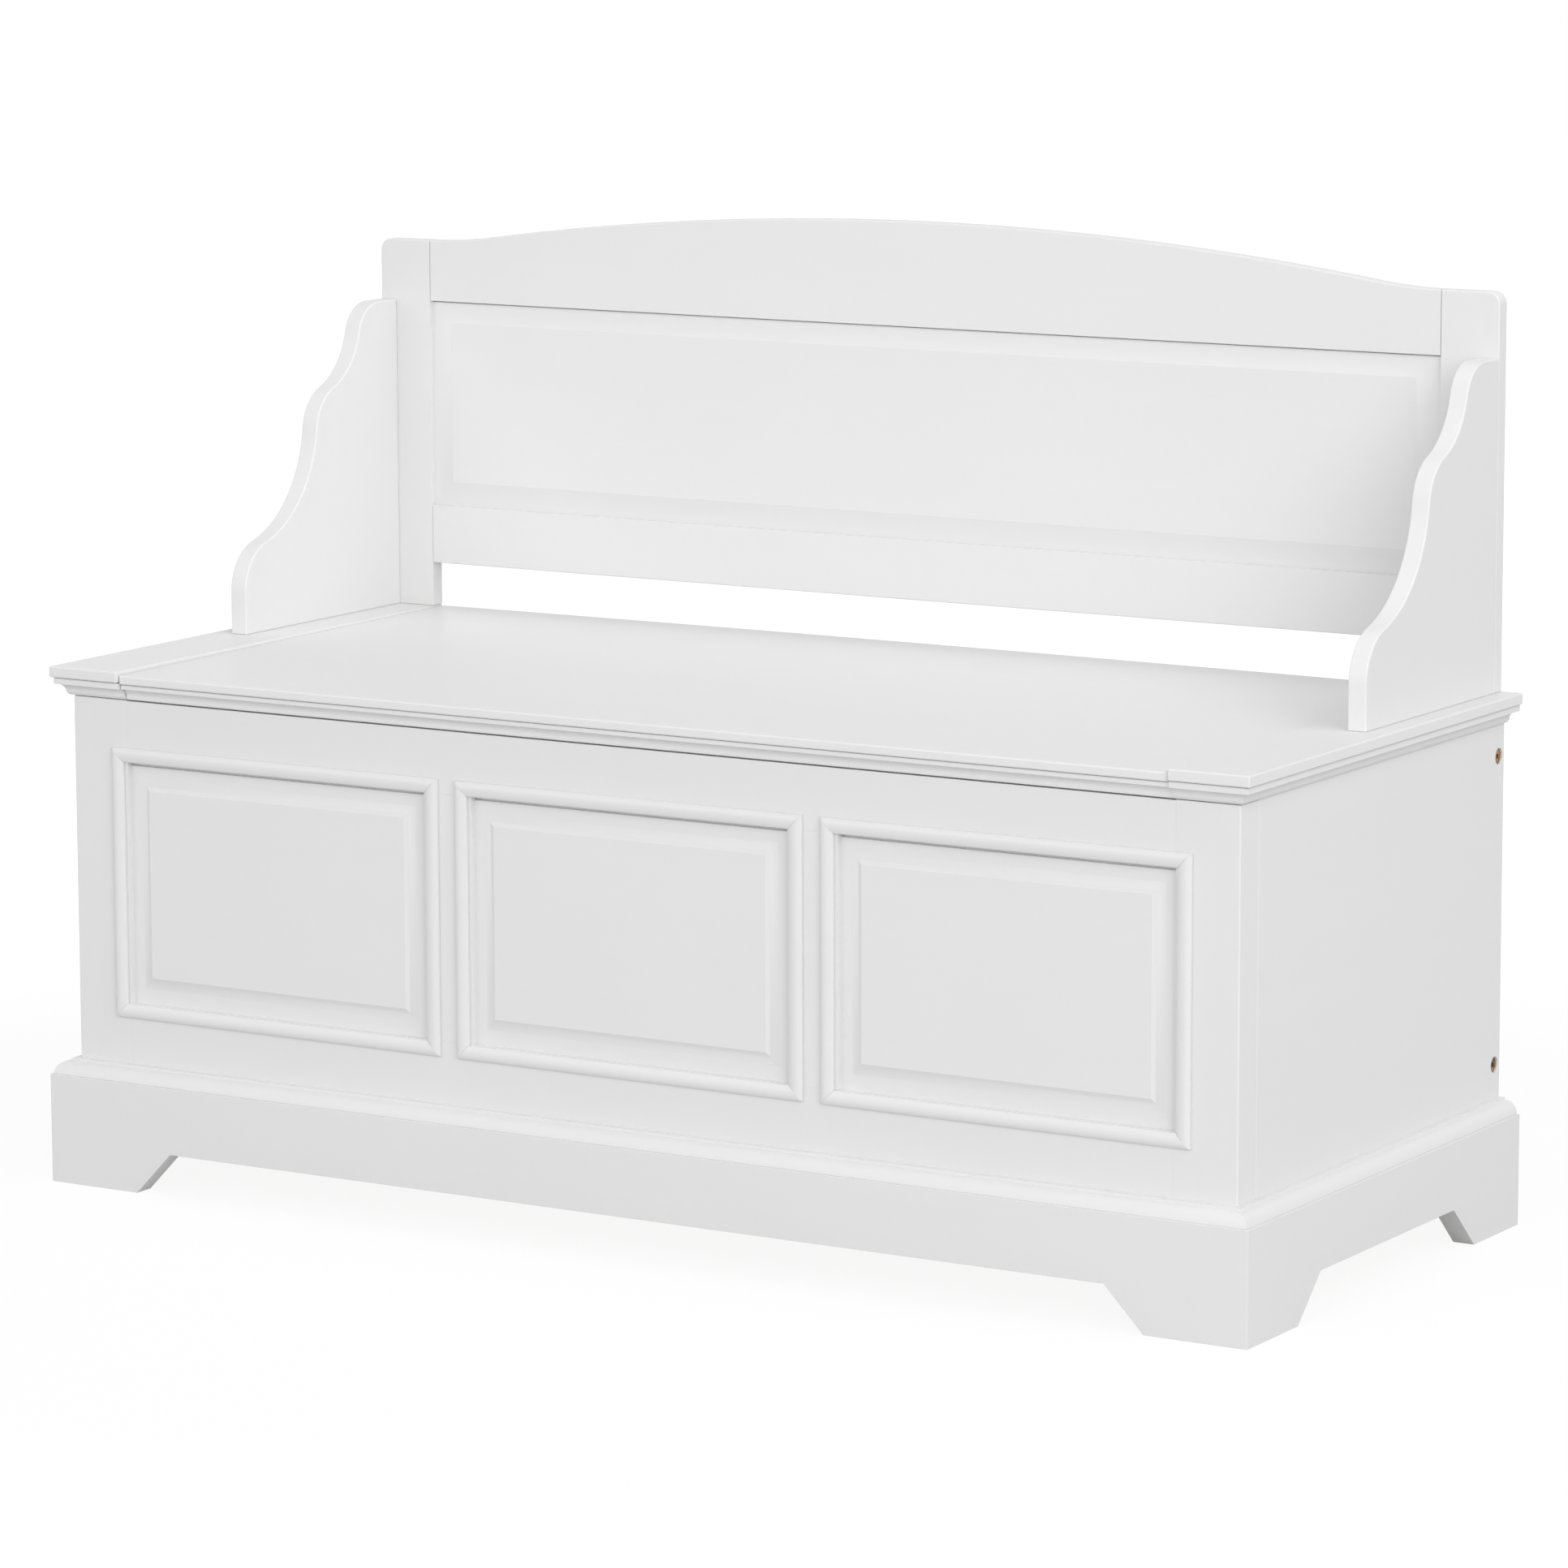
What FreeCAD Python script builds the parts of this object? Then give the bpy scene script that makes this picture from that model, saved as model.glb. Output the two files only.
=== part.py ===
import FreeCAD
import Part
import math
import os

# Storage bench: a panelled chest on a plinth with bracket feet. Two fixed seat caps carry the arms and the
# backrest, and the seat between them is a lid, hinged at the back and held open by two slotted stays.
# Millimetres. X runs along the bench, Y from front to back, Z up. While the pieces are made, Y is measured
# from the front face of the plinth; the finished pieces are moved so that the bench is centred on its origin.

Vector = FreeCAD.Vector
ALONG_X = Vector(1, 0, 0)
ALONG_Y = Vector(0, 1, 0)
ALONG_Z = Vector(0, 0, 1)
same_point = 1e-6

# Plinth
plinth_width = 1201.0
plinth_thickness = 20.0
plinth_face_height = 98.0
plinth_step = 2.5
plinth_ovolo_radius = 11.5
plinth_bead_height = 2.0
notch_height = 38.3
front_foot_length = 94.5
front_notch_run = 37.0
side_front_foot_length = 90.0
side_rear_foot_length = 88.0
side_notch_run = 41.0
foot_block_size = 20.0

# Chest
body_depth = 491.0
body_clearance_height = 40.0
frame_thickness = 30.5
stile_width = 58.2
muntin_width = 49.0
bottom_rail_top = 166.6
top_rail_height = 65.0
side_thickness = 18.0
back_thickness = 20.0
floor_lift = 8.0
floor_thickness = 12.0
floor_gap = 0.5
cleat_width = 18.0
cleat_height = 20.0

# Raised panels of the front and of the backrest
groove_depth = 8.0
tongue_end_gap = 1.0
tongue_thickness = 6.0
tongue_clearance = 0.1
panel_setback = 1.0
panel_rise = 4.5
panel_side_margin = 10.8
panel_margin = 13.2
panel_bevel = 11.0
panel_bevel_sag = 0.5
panel_field_step = 0.15
backrest_groove_depth = 6.0
backrest_tongue_thickness = 5.0
backrest_panel_rise = 4.0
backrest_panel_side_margin = 10.0
backrest_panel_margin = 4.5
backrest_panel_bevel = 18.0
cutter_room = 1.0

# Moulding planted round each front panel
moulding_width = 12.8
moulding_side_reveal = 2.9
moulding_level_reveal = 0.3
moulding_edge = 2.4
moulding_crown = 5.0
moulding_crown_place = 5.5
moulding_foot = 2.7
moulding_rise_sag = 0.7
moulding_fall_sag = 0.6

# Seat caps, lid and the cornice below them
seat_height = 465.5
cap_thickness = 16.0
cap_width = 74.3
cap_overhang = 15.5
cap_rear_overhang = 4.0
cap_step_height = 6.0
cap_step_inset = 3.0
lid_drop = 3.4
lid_setback = 2.8
lid_side_gap = 0.8
lid_rest_gap = 1.5
bumper_radius = 5.0
bumper_gap = 0.2
bumper_end_distance = 100.9
cornice_height = 10.0
cornice_inset = 4.0
cornice_cove_radius = 6.8
cornice_foot = 0.6
cornice_round_sag = 0.9
cornice_running_gap = 0.8
cap_rail_thickness = 18.0
cap_rail_height = 78.0

# Backrest and arms
post_inset = 4.5
post_lid_clearance = 0.4
post_thickness = 15.0
post_height = 344.0
post_rear_overhang = 3.0
post_corner_radius = 11.0
rail_gap = 41.0
backrest_rail_height = 54.5
backrest_panel_height = 192.0
crest_rise = 37.4
crest_end_radius = 430.0
arm_thickness = 17.0
arm_foot_height = 38.1
arm_top_length = 28.6
# An arm's front edge is a run of arcs, rounds and hollows in turn, from the foot up.
arm_low_round_radius = 45.6
arm_low_hollow_radius = 113.2
arm_middle_round_radius = 43.9
arm_high_hollow_radius = 69.2
arm_top_round_radius = 33.7
# The heading each arc ends at, in degrees back from upright.
arm_headings = (74.5, 6.7, 69.1, 13.8, 90.0)

# Dowels, bolts and screws
pin_clearance = 0.05
dowel_radius = 4.0
dowel_length = 40.0
thin_dowel_radius = 3.5
seat_dowel_cap_depth = 10.0
post_dowel_inset = 16.0
arm_rear_dowel_distance = 60.0
arm_front_dowel_distance = 200.0
rail_dowel_inset = 30.0
thin_rail_dowel_inset = 15.0
side_dowel_inset = 50.0
dowel_end_gap = 0.5
bolt_radius = 3.0
bolt_past_nut = 7.0
bolt_hole_clearance = 0.3
bolt_head_radius = 6.5
bolt_head_height = 2.2
bolt_recess = 1.6
bolt_socket_width = 4.0
bolt_socket_depth = 1.5
bolt_top_distance = 38.5
bolt_bottom_distance = 101.0
nut_radius = 5.0
nut_length = 14.0
nut_distance = 34.0
arm_bolt_grip = 30.0
arm_low_bolt_height = 60.0
arm_high_bolt_height = 220.0

# Hinges
hinge_end_distance = 120.9
hinge_length = 70.0
leaf_margin = 4.0
leaf_thickness = 1.5
leaf_gap = 0.4
leaf_fit = 0.1
knuckle_radius = 3.5
knuckle_clearance = 0.4
knuckle_end_gap = 0.3
knuckle_count = 5
hinge_pin_radius = 1.75
hinge_pin_head = 1.0
hinge_pin_head_radius = 3.0
screw_radius = 1.75
screw_head_radius = 3.4
screw_length = 9.5
screw_spread = 25.0

# Lid stays
stay_arm = 160.0
stay_drop = 11.8
stay_angle = 16.0
stay_open_angle = 54.0
stay_bar_width = 16.0
stay_bar_thickness = 2.5
stay_gap = 0.5
stay_slot_clearance = 0.3
stay_end_room = 1.5
stay_tail = 4.0
stay_inset = 6.9
stud_radius = 3.0
stud_head_radius = 6.0
stud_head_height = 2.0
stud_collar_radius = 5.5
stud_depth = 12.0
bracket_thickness = 2.0
bracket_length = 36.0
bracket_width = 20.0
bracket_ear = 17.0
bracket_screw_spread = 12.0
stay_pin_radius = 2.5
stay_pin_head_radius = 4.5
stay_pin_head_height = 1.4

# Places worked out from the sizes above
plinth_height = plinth_face_height + plinth_ovolo_radius + plinth_bead_height
half_plinth = plinth_width / 2
half_body = half_plinth - plinth_thickness
body_front = plinth_thickness
body_rear = body_front + body_depth
body_bottom = body_clearance_height
frame_rear = body_front + frame_thickness
frame_middle = body_front + frame_thickness / 2
side_inner = half_body - side_thickness
side_middle = half_body - side_thickness / 2
back_front = body_rear - back_thickness
back_middle = body_rear - back_thickness / 2
cleat_bottom = body_bottom + floor_lift
cleat_top = cleat_bottom + cleat_height
floor_height = cleat_top + floor_thickness
stile_inner = half_body - stile_width
opening_width = (2 * stile_inner - 2 * muntin_width) / 3
cap_underside = seat_height - cap_thickness
cap_front = body_front - cap_overhang
lid_front = cap_front + lid_setback
cap_rear = body_rear + cap_rear_overhang
half_cap = half_body + cap_overhang
cap_inner = half_cap - cap_width
lid_half = cap_inner - lid_side_gap
lid_top = seat_height - lid_drop
frame_top = cap_underside - lid_rest_gap
top_rail_bottom = frame_top - top_rail_height
back_top = cap_underside - leaf_gap
cornice_bottom = cap_underside - cornice_height
post_outer = half_body - post_inset
post_inner = lid_half + post_lid_clearance
post_rear = body_rear + post_rear_overhang
post_front = post_rear - post_thickness
post_middle = post_rear - post_thickness / 2
post_top = seat_height + post_height
backrest_rail_bottom = seat_height + rail_gap
backrest_rail_top = backrest_rail_bottom + backrest_rail_height
crest_bottom = backrest_rail_top + backrest_panel_height
arm_inner = post_outer - arm_thickness
arm_middle = post_outer - arm_thickness / 2
arm_radii = (arm_low_round_radius, arm_low_hollow_radius, arm_middle_round_radius,
             arm_high_hollow_radius, arm_top_round_radius)
hinge_places = (hinge_end_distance - lid_half, 0.0, lid_half - hinge_end_distance)
hinge_y = cap_rear + knuckle_radius + knuckle_clearance
leaf_front = back_front + leaf_margin
hinge_z = cap_underside - leaf_gap / 2
overall_depth = hinge_y + knuckle_radius
stay_pin_y = hinge_y - stay_arm
stay_pin_z = hinge_z - stay_drop
stay_radius = math.hypot(stay_arm, stay_drop)
stay_lid_angle = math.degrees(math.atan2(stay_drop, stay_arm))
stud_heading = math.radians(stay_lid_angle + stay_angle)
stud_y = hinge_y - stay_radius * math.cos(stud_heading)
stud_z = hinge_z - stay_radius * math.sin(stud_heading)
bolt_socket_corner = bolt_socket_width / math.sqrt(3)
stay_outer = lid_half - stay_inset
stay_inner = stay_outer - stay_bar_thickness
bracket_outer = stay_inner - stay_gap


def box(x0, x1, y0, y1, z0, z1):
    """A block between two opposite corners."""
    return Part.makeBox(x1 - x0, y1 - y0, z1 - z0, Vector(x0, y0, z0))


def rod(start, direction, radius, length):
    """A round bar."""
    return Part.makeCylinder(radius, length, start, direction)


def mirrored(shape):
    """The same piece on the other side of the bench."""
    return shape.mirror(Vector(0, 0, 0), ALONG_X)


def wire(steps, place):
    """A closed outline of straight runs and arcs.

    Each step is an end point, or a pair of a point on an arc and the arc's end point. The first step is the
    start, and place turns a flat point into a point in space.
    """
    edges = []
    start = place(*steps[0])
    for step in list(steps[1:]) + [steps[0]]:
        is_arc = isinstance(step[0], tuple)
        end = place(*(step[1] if is_arc else step))
        if start.distanceToPoint(end) < same_point:
            continue
        if is_arc:
            edges.append(Part.Arc(start, place(*step[0]), end).toShape())
        else:
            edges.append(Part.LineSegment(start, end).toShape())
        start = end
    return Part.Wire(edges)


def prism(steps, place, sweep):
    """An outline swept along a straight line."""
    return Part.Face(wire(steps, place)).extrude(sweep)


def drilled(shape, holes):
    """A piece with round holes taken out of it."""
    return shape.cut(Part.makeCompound(holes)) if holes else shape


def arc_middle(start, end, sag):
    """The middle point of an arc that bows sag to the left of the line from start to end."""
    run = (end[0] - start[0], end[1] - start[1])
    length = math.hypot(*run)
    return ((start[0] + end[0]) / 2 - run[1] / length * sag, (start[1] + end[1]) / 2 + run[0] / length * sag)


def on_circle(centre, radius, degrees):
    """A point on a circle, counted from the first axis."""
    angle = math.radians(degrees)
    return (centre[0] + radius * math.cos(angle), centre[1] + radius * math.sin(angle))


def save(name, shape):
    """Moves a finished piece into the bench's own frame and writes it out."""
    placed = shape.copy()
    placed.translate(Vector(0, -overall_depth / 2, 0))
    placed.exportStep("parts/" + name + ".step")


def save_pair(name, right):
    """Writes a piece of the right side, and its twin on the left."""
    save(name + "_right", right)
    save(name + "_left", mirrored(right))


def dowel(centre, direction, radius=dowel_radius, before=dowel_length / 2, after=dowel_length / 2):
    """A dowel across a joint, and its hole in both pieces."""
    pin = rod(centre - direction * before, direction, radius, before + after)
    hole = rod(centre - direction * (before + dowel_end_gap), direction, radius + pin_clearance,
               before + after + 2 * dowel_end_gap)
    return pin, hole


def bolt(head, direction, length):
    """A socket-head bolt with its flat head sunk in a counterbore, and the hole it needs.

    head is the point on the outer face of the piece, and direction points into it.
    """
    seat = head + direction * (bolt_recess + bolt_head_height)
    body = rod(head + direction * bolt_recess, direction, bolt_head_radius, bolt_head_height)
    body = body.fuse(rod(seat, direction, bolt_radius, length))
    side = ALONG_Z.cross(direction)
    corners = [on_circle((0, 0), bolt_socket_corner, 60 * index) for index in range(6)]
    start = head + direction * bolt_recess
    socket = prism(corners, lambda a, b: start + side * a + ALONG_Z * b, direction * bolt_socket_depth)
    hole = rod(head, direction, bolt_head_radius + bolt_hole_clearance, bolt_recess + bolt_head_height)
    hole = hole.fuse(rod(seat, direction, bolt_radius + bolt_hole_clearance, length + dowel_end_gap))
    return body.cut(socket), hole


def screw(surface, direction):
    """A countersunk screw whose head is flush with a plate's face, and the hole it needs."""
    head = Part.makeCone(screw_head_radius, screw_radius, leaf_thickness, surface, direction)
    shank = rod(surface, direction, screw_radius, leaf_thickness + screw_length)
    hole_head = Part.makeCone(screw_head_radius + pin_clearance, screw_radius + pin_clearance, leaf_thickness,
                              surface, direction)
    hole = rod(surface, direction, screw_radius + pin_clearance,
               leaf_thickness + screw_length + dowel_end_gap)
    return head.fuse(shank), hole_head.fuse(hole)


def plinth_section():
    """The plinth's section: depth in from the face, and height."""
    ovolo_centre = (plinth_step + plinth_ovolo_radius, plinth_face_height)
    ovolo_top = (ovolo_centre[0], plinth_face_height + plinth_ovolo_radius)
    return [(0, 0), (0, plinth_face_height), (plinth_step, plinth_face_height),
            (on_circle(ovolo_centre, plinth_ovolo_radius, 135), ovolo_top), (ovolo_centre[0], plinth_height),
            (plinth_thickness, plinth_height), (plinth_thickness, 0)]


def notch(first_foot, last_foot, first_run, last_run, length):
    """The outline of the opening between two bracket feet: place along the board, and height."""
    return [(first_foot, 0), (first_foot + first_run, notch_height),
            (length - last_foot - last_run, notch_height), (length - last_foot, 0)]


def make_plinth():
    """The plinth's front and side boards, mitred at the front corners, and the blocks behind the feet."""
    section = plinth_section()
    front = prism(section, lambda d, z: Vector(-half_plinth, d, z), ALONG_X * plinth_width)
    mitre = [(-half_plinth, 0), (half_plinth, 0), (half_body, plinth_thickness),
             (-half_body, plinth_thickness)]
    front = front.common(prism(mitre, lambda x, y: Vector(x, y, 0), ALONG_Z * plinth_height))
    front_notch = notch(front_foot_length, front_foot_length, front_notch_run, front_notch_run, plinth_width)
    front = front.cut(prism(front_notch, lambda s, z: Vector(s - half_plinth, 0, z),
                            ALONG_Y * plinth_thickness))
    save("plinth_front", front)

    side = prism(section, lambda d, z: Vector(half_plinth - d, 0, z), ALONG_Y * body_rear)
    mitre = [(half_plinth, 0), (half_plinth, body_rear), (half_body, body_rear),
             (half_body, plinth_thickness)]
    side = side.common(prism(mitre, lambda x, y: Vector(x, y, 0), ALONG_Z * plinth_height))
    side_notch = notch(side_front_foot_length, side_rear_foot_length, side_notch_run, side_notch_run,
                       body_rear)
    side = side.cut(prism(side_notch, lambda s, z: Vector(half_body, s, z), ALONG_X * plinth_thickness))
    save_pair("plinth", side)

    blocks = []
    for y in (body_front, body_rear - foot_block_size):
        block = box(half_body - foot_block_size, half_body, y, y + foot_block_size, 0, body_bottom)
        blocks += [block, mirrored(block)]
    save("foot_blocks", Part.makeCompound(blocks))


def raised_panel(x0, x1, z0, z1, face, tongue, tongue_wide, rise, side_margin, margin, bevel):
    """A fielded panel: a flat field, a hollow bevel round it, and a tongue in the frame's grooves.

    face is the Y of the field, and rise how far the tongue's front lies behind it. The four sides are the
    opening's, tongue is how far the panel runs past them, and the margins are flat strips inside them.
    """
    def edge(flat):
        start = (flat, rise)
        end = (flat + bevel, panel_field_step)
        hollow = arc_middle(end, start, -panel_bevel_sag)
        return [(-cutter_room, -cutter_room), (end[0], -cutter_room), end, (hollow, start),
                (-cutter_room, rise)]

    side_edge = edge(tongue + side_margin)
    level_edge = edge(tongue + margin)
    left, right, low, high = x0 - tongue, x1 + tongue, z0 - tongue, z1 + tongue
    panel = box(left, right, face, face + rise + tongue_wide, low, high)
    along_x = ALONG_X * (right - left)
    along_z = ALONG_Z * (high - low)
    cutters = [prism(side_edge, lambda d, y: Vector(left + d, face + y, low), along_z),
               prism(side_edge, lambda d, y: Vector(right - d, face + y, low), along_z),
               prism(level_edge, lambda d, y: Vector(left, face + y, low + d), along_x),
               prism(level_edge, lambda d, y: Vector(left, face + y, high - d), along_x)]
    for cutter in cutters:
        panel = panel.cut(cutter)
    return panel


def panel_groove(x0, x1, z0, z1, front, depth, wide):
    """The space that a panel's tongue and its grooves take up in the frame round it."""
    return box(x0 - depth, x1 + depth, front - tongue_clearance, front + wide + tongue_clearance,
               z0 - depth, z1 + depth)


def moulding_frame(x0, x1, z0, z1):
    """Four mitred lengths of moulding planted on the frame round an opening, a little back from its edge."""
    crown = (moulding_crown_place, -moulding_crown)
    edge = (0, -moulding_edge)
    foot = (moulding_width, -moulding_foot)
    rise = arc_middle(edge, crown, -moulding_rise_sag)
    fall = arc_middle(crown, foot, -moulding_fall_sag)
    section = [(0, 0), edge, (rise, crown), (fall, foot), (moulding_width, 0)]
    inner_left, inner_right = x0 - moulding_side_reveal, x1 + moulding_side_reveal
    inner_low, inner_high = z0 - moulding_level_reveal, z1 + moulding_level_reveal
    left, right = inner_left - moulding_width, inner_right + moulding_width
    low, high = inner_low - moulding_width, inner_high + moulding_width
    sides = [
        (lambda d, y: Vector(left + d, body_front + y, low), ALONG_Z * (high - low),
         [(left, low), (left, high), (inner_left, inner_high), (inner_left, inner_low)]),
        (lambda d, y: Vector(right - d, body_front + y, low), ALONG_Z * (high - low),
         [(right, low), (right, high), (inner_right, inner_high), (inner_right, inner_low)]),
        (lambda d, y: Vector(left, body_front + y, low + d), ALONG_X * (right - left),
         [(left, low), (right, low), (inner_right, inner_low), (inner_left, inner_low)]),
        (lambda d, y: Vector(left, body_front + y, high - d), ALONG_X * (right - left),
         [(left, high), (right, high), (inner_right, inner_high), (inner_left, inner_high)])]
    lengths = []
    for place, sweep, mitre in sides:
        cut = prism(mitre, lambda x, z: Vector(x, body_front - moulding_crown, z), ALONG_Y * moulding_crown)
        lengths.append(prism(section, place, sweep).common(cut))
    return Part.makeCompound(lengths)


def make_front():
    """The front of the chest: stiles, rails, muntins, three fielded panels and the mouldings round them."""
    names = ("left", "centre", "right")
    openings = []
    for index in range(len(names)):
        x0 = -stile_inner + index * (opening_width + muntin_width)
        openings.append((x0, x0 + opening_width))
    tongue_front = body_front + panel_setback + panel_rise
    groove = Part.makeCompound([
        panel_groove(x0, x1, bottom_rail_top, top_rail_bottom, tongue_front, groove_depth, tongue_thickness)
        for x0, x1 in openings])

    joints = []
    for z in (body_bottom + rail_dowel_inset, bottom_rail_top - rail_dowel_inset,
              top_rail_bottom + thin_rail_dowel_inset, frame_top - thin_rail_dowel_inset):
        joints += [dowel(Vector(side * stile_inner, frame_middle, z), ALONG_X) for side in (-1, 1)]
    muntin_middle = opening_width / 2 + muntin_width / 2
    for z in (bottom_rail_top, top_rail_bottom):
        joints += [dowel(Vector(side * muntin_middle, frame_middle, z), ALONG_Z) for side in (-1, 1)]
    side_heights = [body_bottom + side_dowel_inset, (body_bottom + cap_underside) / 2,
                    cap_underside - side_dowel_inset]
    side_joints = [dowel(Vector(side * side_middle, frame_rear, z), ALONG_Y)
                   for z in side_heights for side in (-1, 1)]
    save("frame_dowels", Part.makeCompound([pin for pin, hole in joints + side_joints]))
    holes = [hole for pin, hole in joints + side_joints]

    def member(x0, x1, z0, z1):
        return drilled(box(x0, x1, body_front, frame_rear, z0, z1).cut(groove), holes)

    save_pair("stile", member(stile_inner, half_body, body_bottom, cap_underside))
    save("front_top_rail", member(-stile_inner, stile_inner, top_rail_bottom, frame_top))
    save("front_bottom_rail", member(-stile_inner, stile_inner, body_bottom, bottom_rail_top))
    save_pair("muntin", member(muntin_middle - muntin_width / 2, muntin_middle + muntin_width / 2,
                               bottom_rail_top, top_rail_bottom))
    for name, (x0, x1) in zip(names, openings):
        panel = raised_panel(x0, x1, bottom_rail_top, top_rail_bottom, body_front + panel_setback,
                             groove_depth - tongue_end_gap, tongue_thickness, panel_rise,
                             panel_side_margin, panel_margin, panel_bevel)
        save("front_panel_" + name, panel)
        save("panel_moulding_" + name, moulding_frame(x0, x1, bottom_rail_top, top_rail_bottom))
    return [hole for pin, hole in side_joints]


def make_chest(side_dowel_holes):
    """The sides, back and floor of the chest, with the bolts that hold the back between the sides."""
    bolt_length = side_thickness - bolt_recess - bolt_head_height + nut_distance + bolt_past_nut
    bolts, nuts, holes, nut_holes = [], [], [], []
    for z in (body_bottom + bolt_bottom_distance, cap_underside - bolt_top_distance):
        body, hole = bolt(Vector(half_body, back_middle, z), -ALONG_X, bolt_length)
        nut_start = Vector(side_inner - nut_distance, back_middle - nut_length / 2, z)
        nut = rod(nut_start, ALONG_Y, nut_radius, nut_length)
        cross = rod(Vector(side_inner, back_middle, z), -ALONG_X, bolt_radius + pin_clearance, bolt_length)
        bolts += [body, mirrored(body)]
        holes += [hole, mirrored(hole)]
        nuts += [nut.cut(cross), mirrored(nut.cut(cross))]
        nut_hole = rod(Vector(side_inner - nut_distance, back_front, z), ALONG_Y, nut_radius + pin_clearance,
                       back_middle + nut_length / 2 + dowel_end_gap - back_front)
        nut_holes += [nut_hole, mirrored(nut_hole)]
    save("side_bolts", Part.makeCompound(bolts))
    save("barrel_nuts", Part.makeCompound(nuts))

    side = box(side_inner, half_body, frame_rear, body_rear, body_bottom, cap_underside)
    save_pair("side_panel", drilled(side, holes + side_dowel_holes))
    back = box(-side_inner, side_inner, back_front, body_rear, body_bottom, back_top)
    back = back.cut(Part.makeCompound(hinge_mortises(back_top - leaf_thickness - leaf_fit, back_top)))
    save("chest_back", drilled(back, holes + nut_holes + hinge_screws(-1)[1]))

    save("chest_floor", box(-side_inner + floor_gap, side_inner - floor_gap, frame_rear + floor_gap,
                            back_front - floor_gap, cleat_top, floor_height))
    long_cleats = [box(-side_inner, side_inner, y, y + cleat_width, cleat_bottom, cleat_top)
                   for y in (frame_rear, back_front - cleat_width)]
    short_cleat = box(side_inner - cleat_width, side_inner, frame_rear + cleat_width,
                      back_front - cleat_width, cleat_bottom, cleat_top)
    save("floor_cleats", Part.makeCompound(long_cleats + [short_cleat, mirrored(short_cleat)]))


def stepped_edge(front, inset_front):
    """Depth and height of a seat board's front edge, whose lower part steps back."""
    return [(front, cap_underside + cap_step_height), (inset_front, cap_underside + cap_step_height),
            (inset_front, cap_underside)]


def cornice_section(reach, foot_reach):
    """The cornice: distance out from the chest's face, and height. A hollow above a small round."""
    hollow_low = (reach - cornice_cove_radius, cap_underside - cornice_cove_radius)
    hollow_mid = on_circle((reach, hollow_low[1]), cornice_cove_radius, 135)
    foot = (foot_reach, cornice_bottom)
    round_mid = arc_middle(hollow_low, foot, cornice_round_sag)
    return [(0, cornice_bottom), (0, cap_underside), (reach, cap_underside), (hollow_mid, hollow_low),
            (round_mid, foot)]


def make_caps():
    """The two fixed ends of the seat, with the cornice round them and the rails below their inner edges."""
    dowels = []
    for x in (cap_inner + post_dowel_inset, post_outer - post_dowel_inset):
        foot = Vector(x, post_middle, seat_height)
        dowels.append(dowel(foot, ALONG_Z, thin_dowel_radius, seat_dowel_cap_depth))
    for distance in (arm_rear_dowel_distance, arm_front_dowel_distance):
        foot = Vector(arm_middle, post_front - distance, seat_height)
        dowels.append(dowel(foot, ALONG_Z, thin_dowel_radius, seat_dowel_cap_depth))
    pins = [pin for pin, hole in dowels]
    holes = [hole for pin, hole in dowels]
    save("seat_dowels", Part.makeCompound(pins + [mirrored(pin) for pin in pins]))

    cap = box(cap_inner, half_cap, cap_front, cap_rear, cap_underside, seat_height)
    step_top = cap_underside + cap_step_height
    step = box(cap_inner, half_cap, cap_front, cap_front + cap_step_inset, cap_underside, step_top)
    step = step.fuse(box(half_cap - cap_step_inset, half_cap, cap_front, cap_rear, cap_underside, step_top))
    save_pair("cap", drilled(cap.cut(step), holes))

    reach = cap_overhang - cornice_inset
    section = cornice_section(reach, cornice_foot + lid_setback)
    corner = half_body + reach
    front = prism(section, lambda d, z: Vector(cap_inner, body_front - d, z), ALONG_X * (corner - cap_inner))
    mitre = [(cap_inner, body_front - reach), (corner, body_front - reach), (half_body, body_front),
             (cap_inner, body_front)]
    front = front.common(prism(mitre, lambda x, y: Vector(x, y, cornice_bottom), ALONG_Z * cornice_height))
    side = prism(section, lambda d, z: Vector(half_body + d, body_front - reach, z),
                 ALONG_Y * (body_rear - body_front + reach))
    mitre = [(corner, body_front - reach), (corner, body_rear), (half_body, body_rear),
             (half_body, body_front)]
    side = side.common(prism(mitre, lambda x, y: Vector(x, y, cornice_bottom), ALONG_Z * cornice_height))
    save_pair("cap_moulding", Part.makeCompound([front, side]))

    rail = box(cap_inner, cap_inner + cap_rail_thickness, frame_rear, back_front,
               cap_underside - cap_rail_height, cap_underside)
    stud_hole = rod(Vector(cap_inner, stud_y, stud_z), ALONG_X, stud_radius + pin_clearance,
                    stud_depth + dowel_end_gap)
    save_pair("cap_rail", rail.cut(stud_hole))
    return holes


def crest_outline():
    """The crest rail's outline: a low arch that sweeps down level into the posts."""
    turn = 2 * math.atan(crest_rise / post_inner)
    apex = post_top + crest_rise
    bend = (post_inner - crest_end_radius * math.sin(turn),
            post_top + crest_end_radius * (1 - math.cos(turn)))
    half_turn = turn / 2
    end_mid = (post_inner - crest_end_radius * math.sin(half_turn),
               post_top + crest_end_radius * (1 - math.cos(half_turn)))
    return [(-post_inner, crest_bottom), (post_inner, crest_bottom), (post_inner, post_top), (end_mid, bend),
            ((0, apex), (-bend[0], bend[1])), ((-end_mid[0], end_mid[1]), (-post_inner, post_top))]


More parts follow.
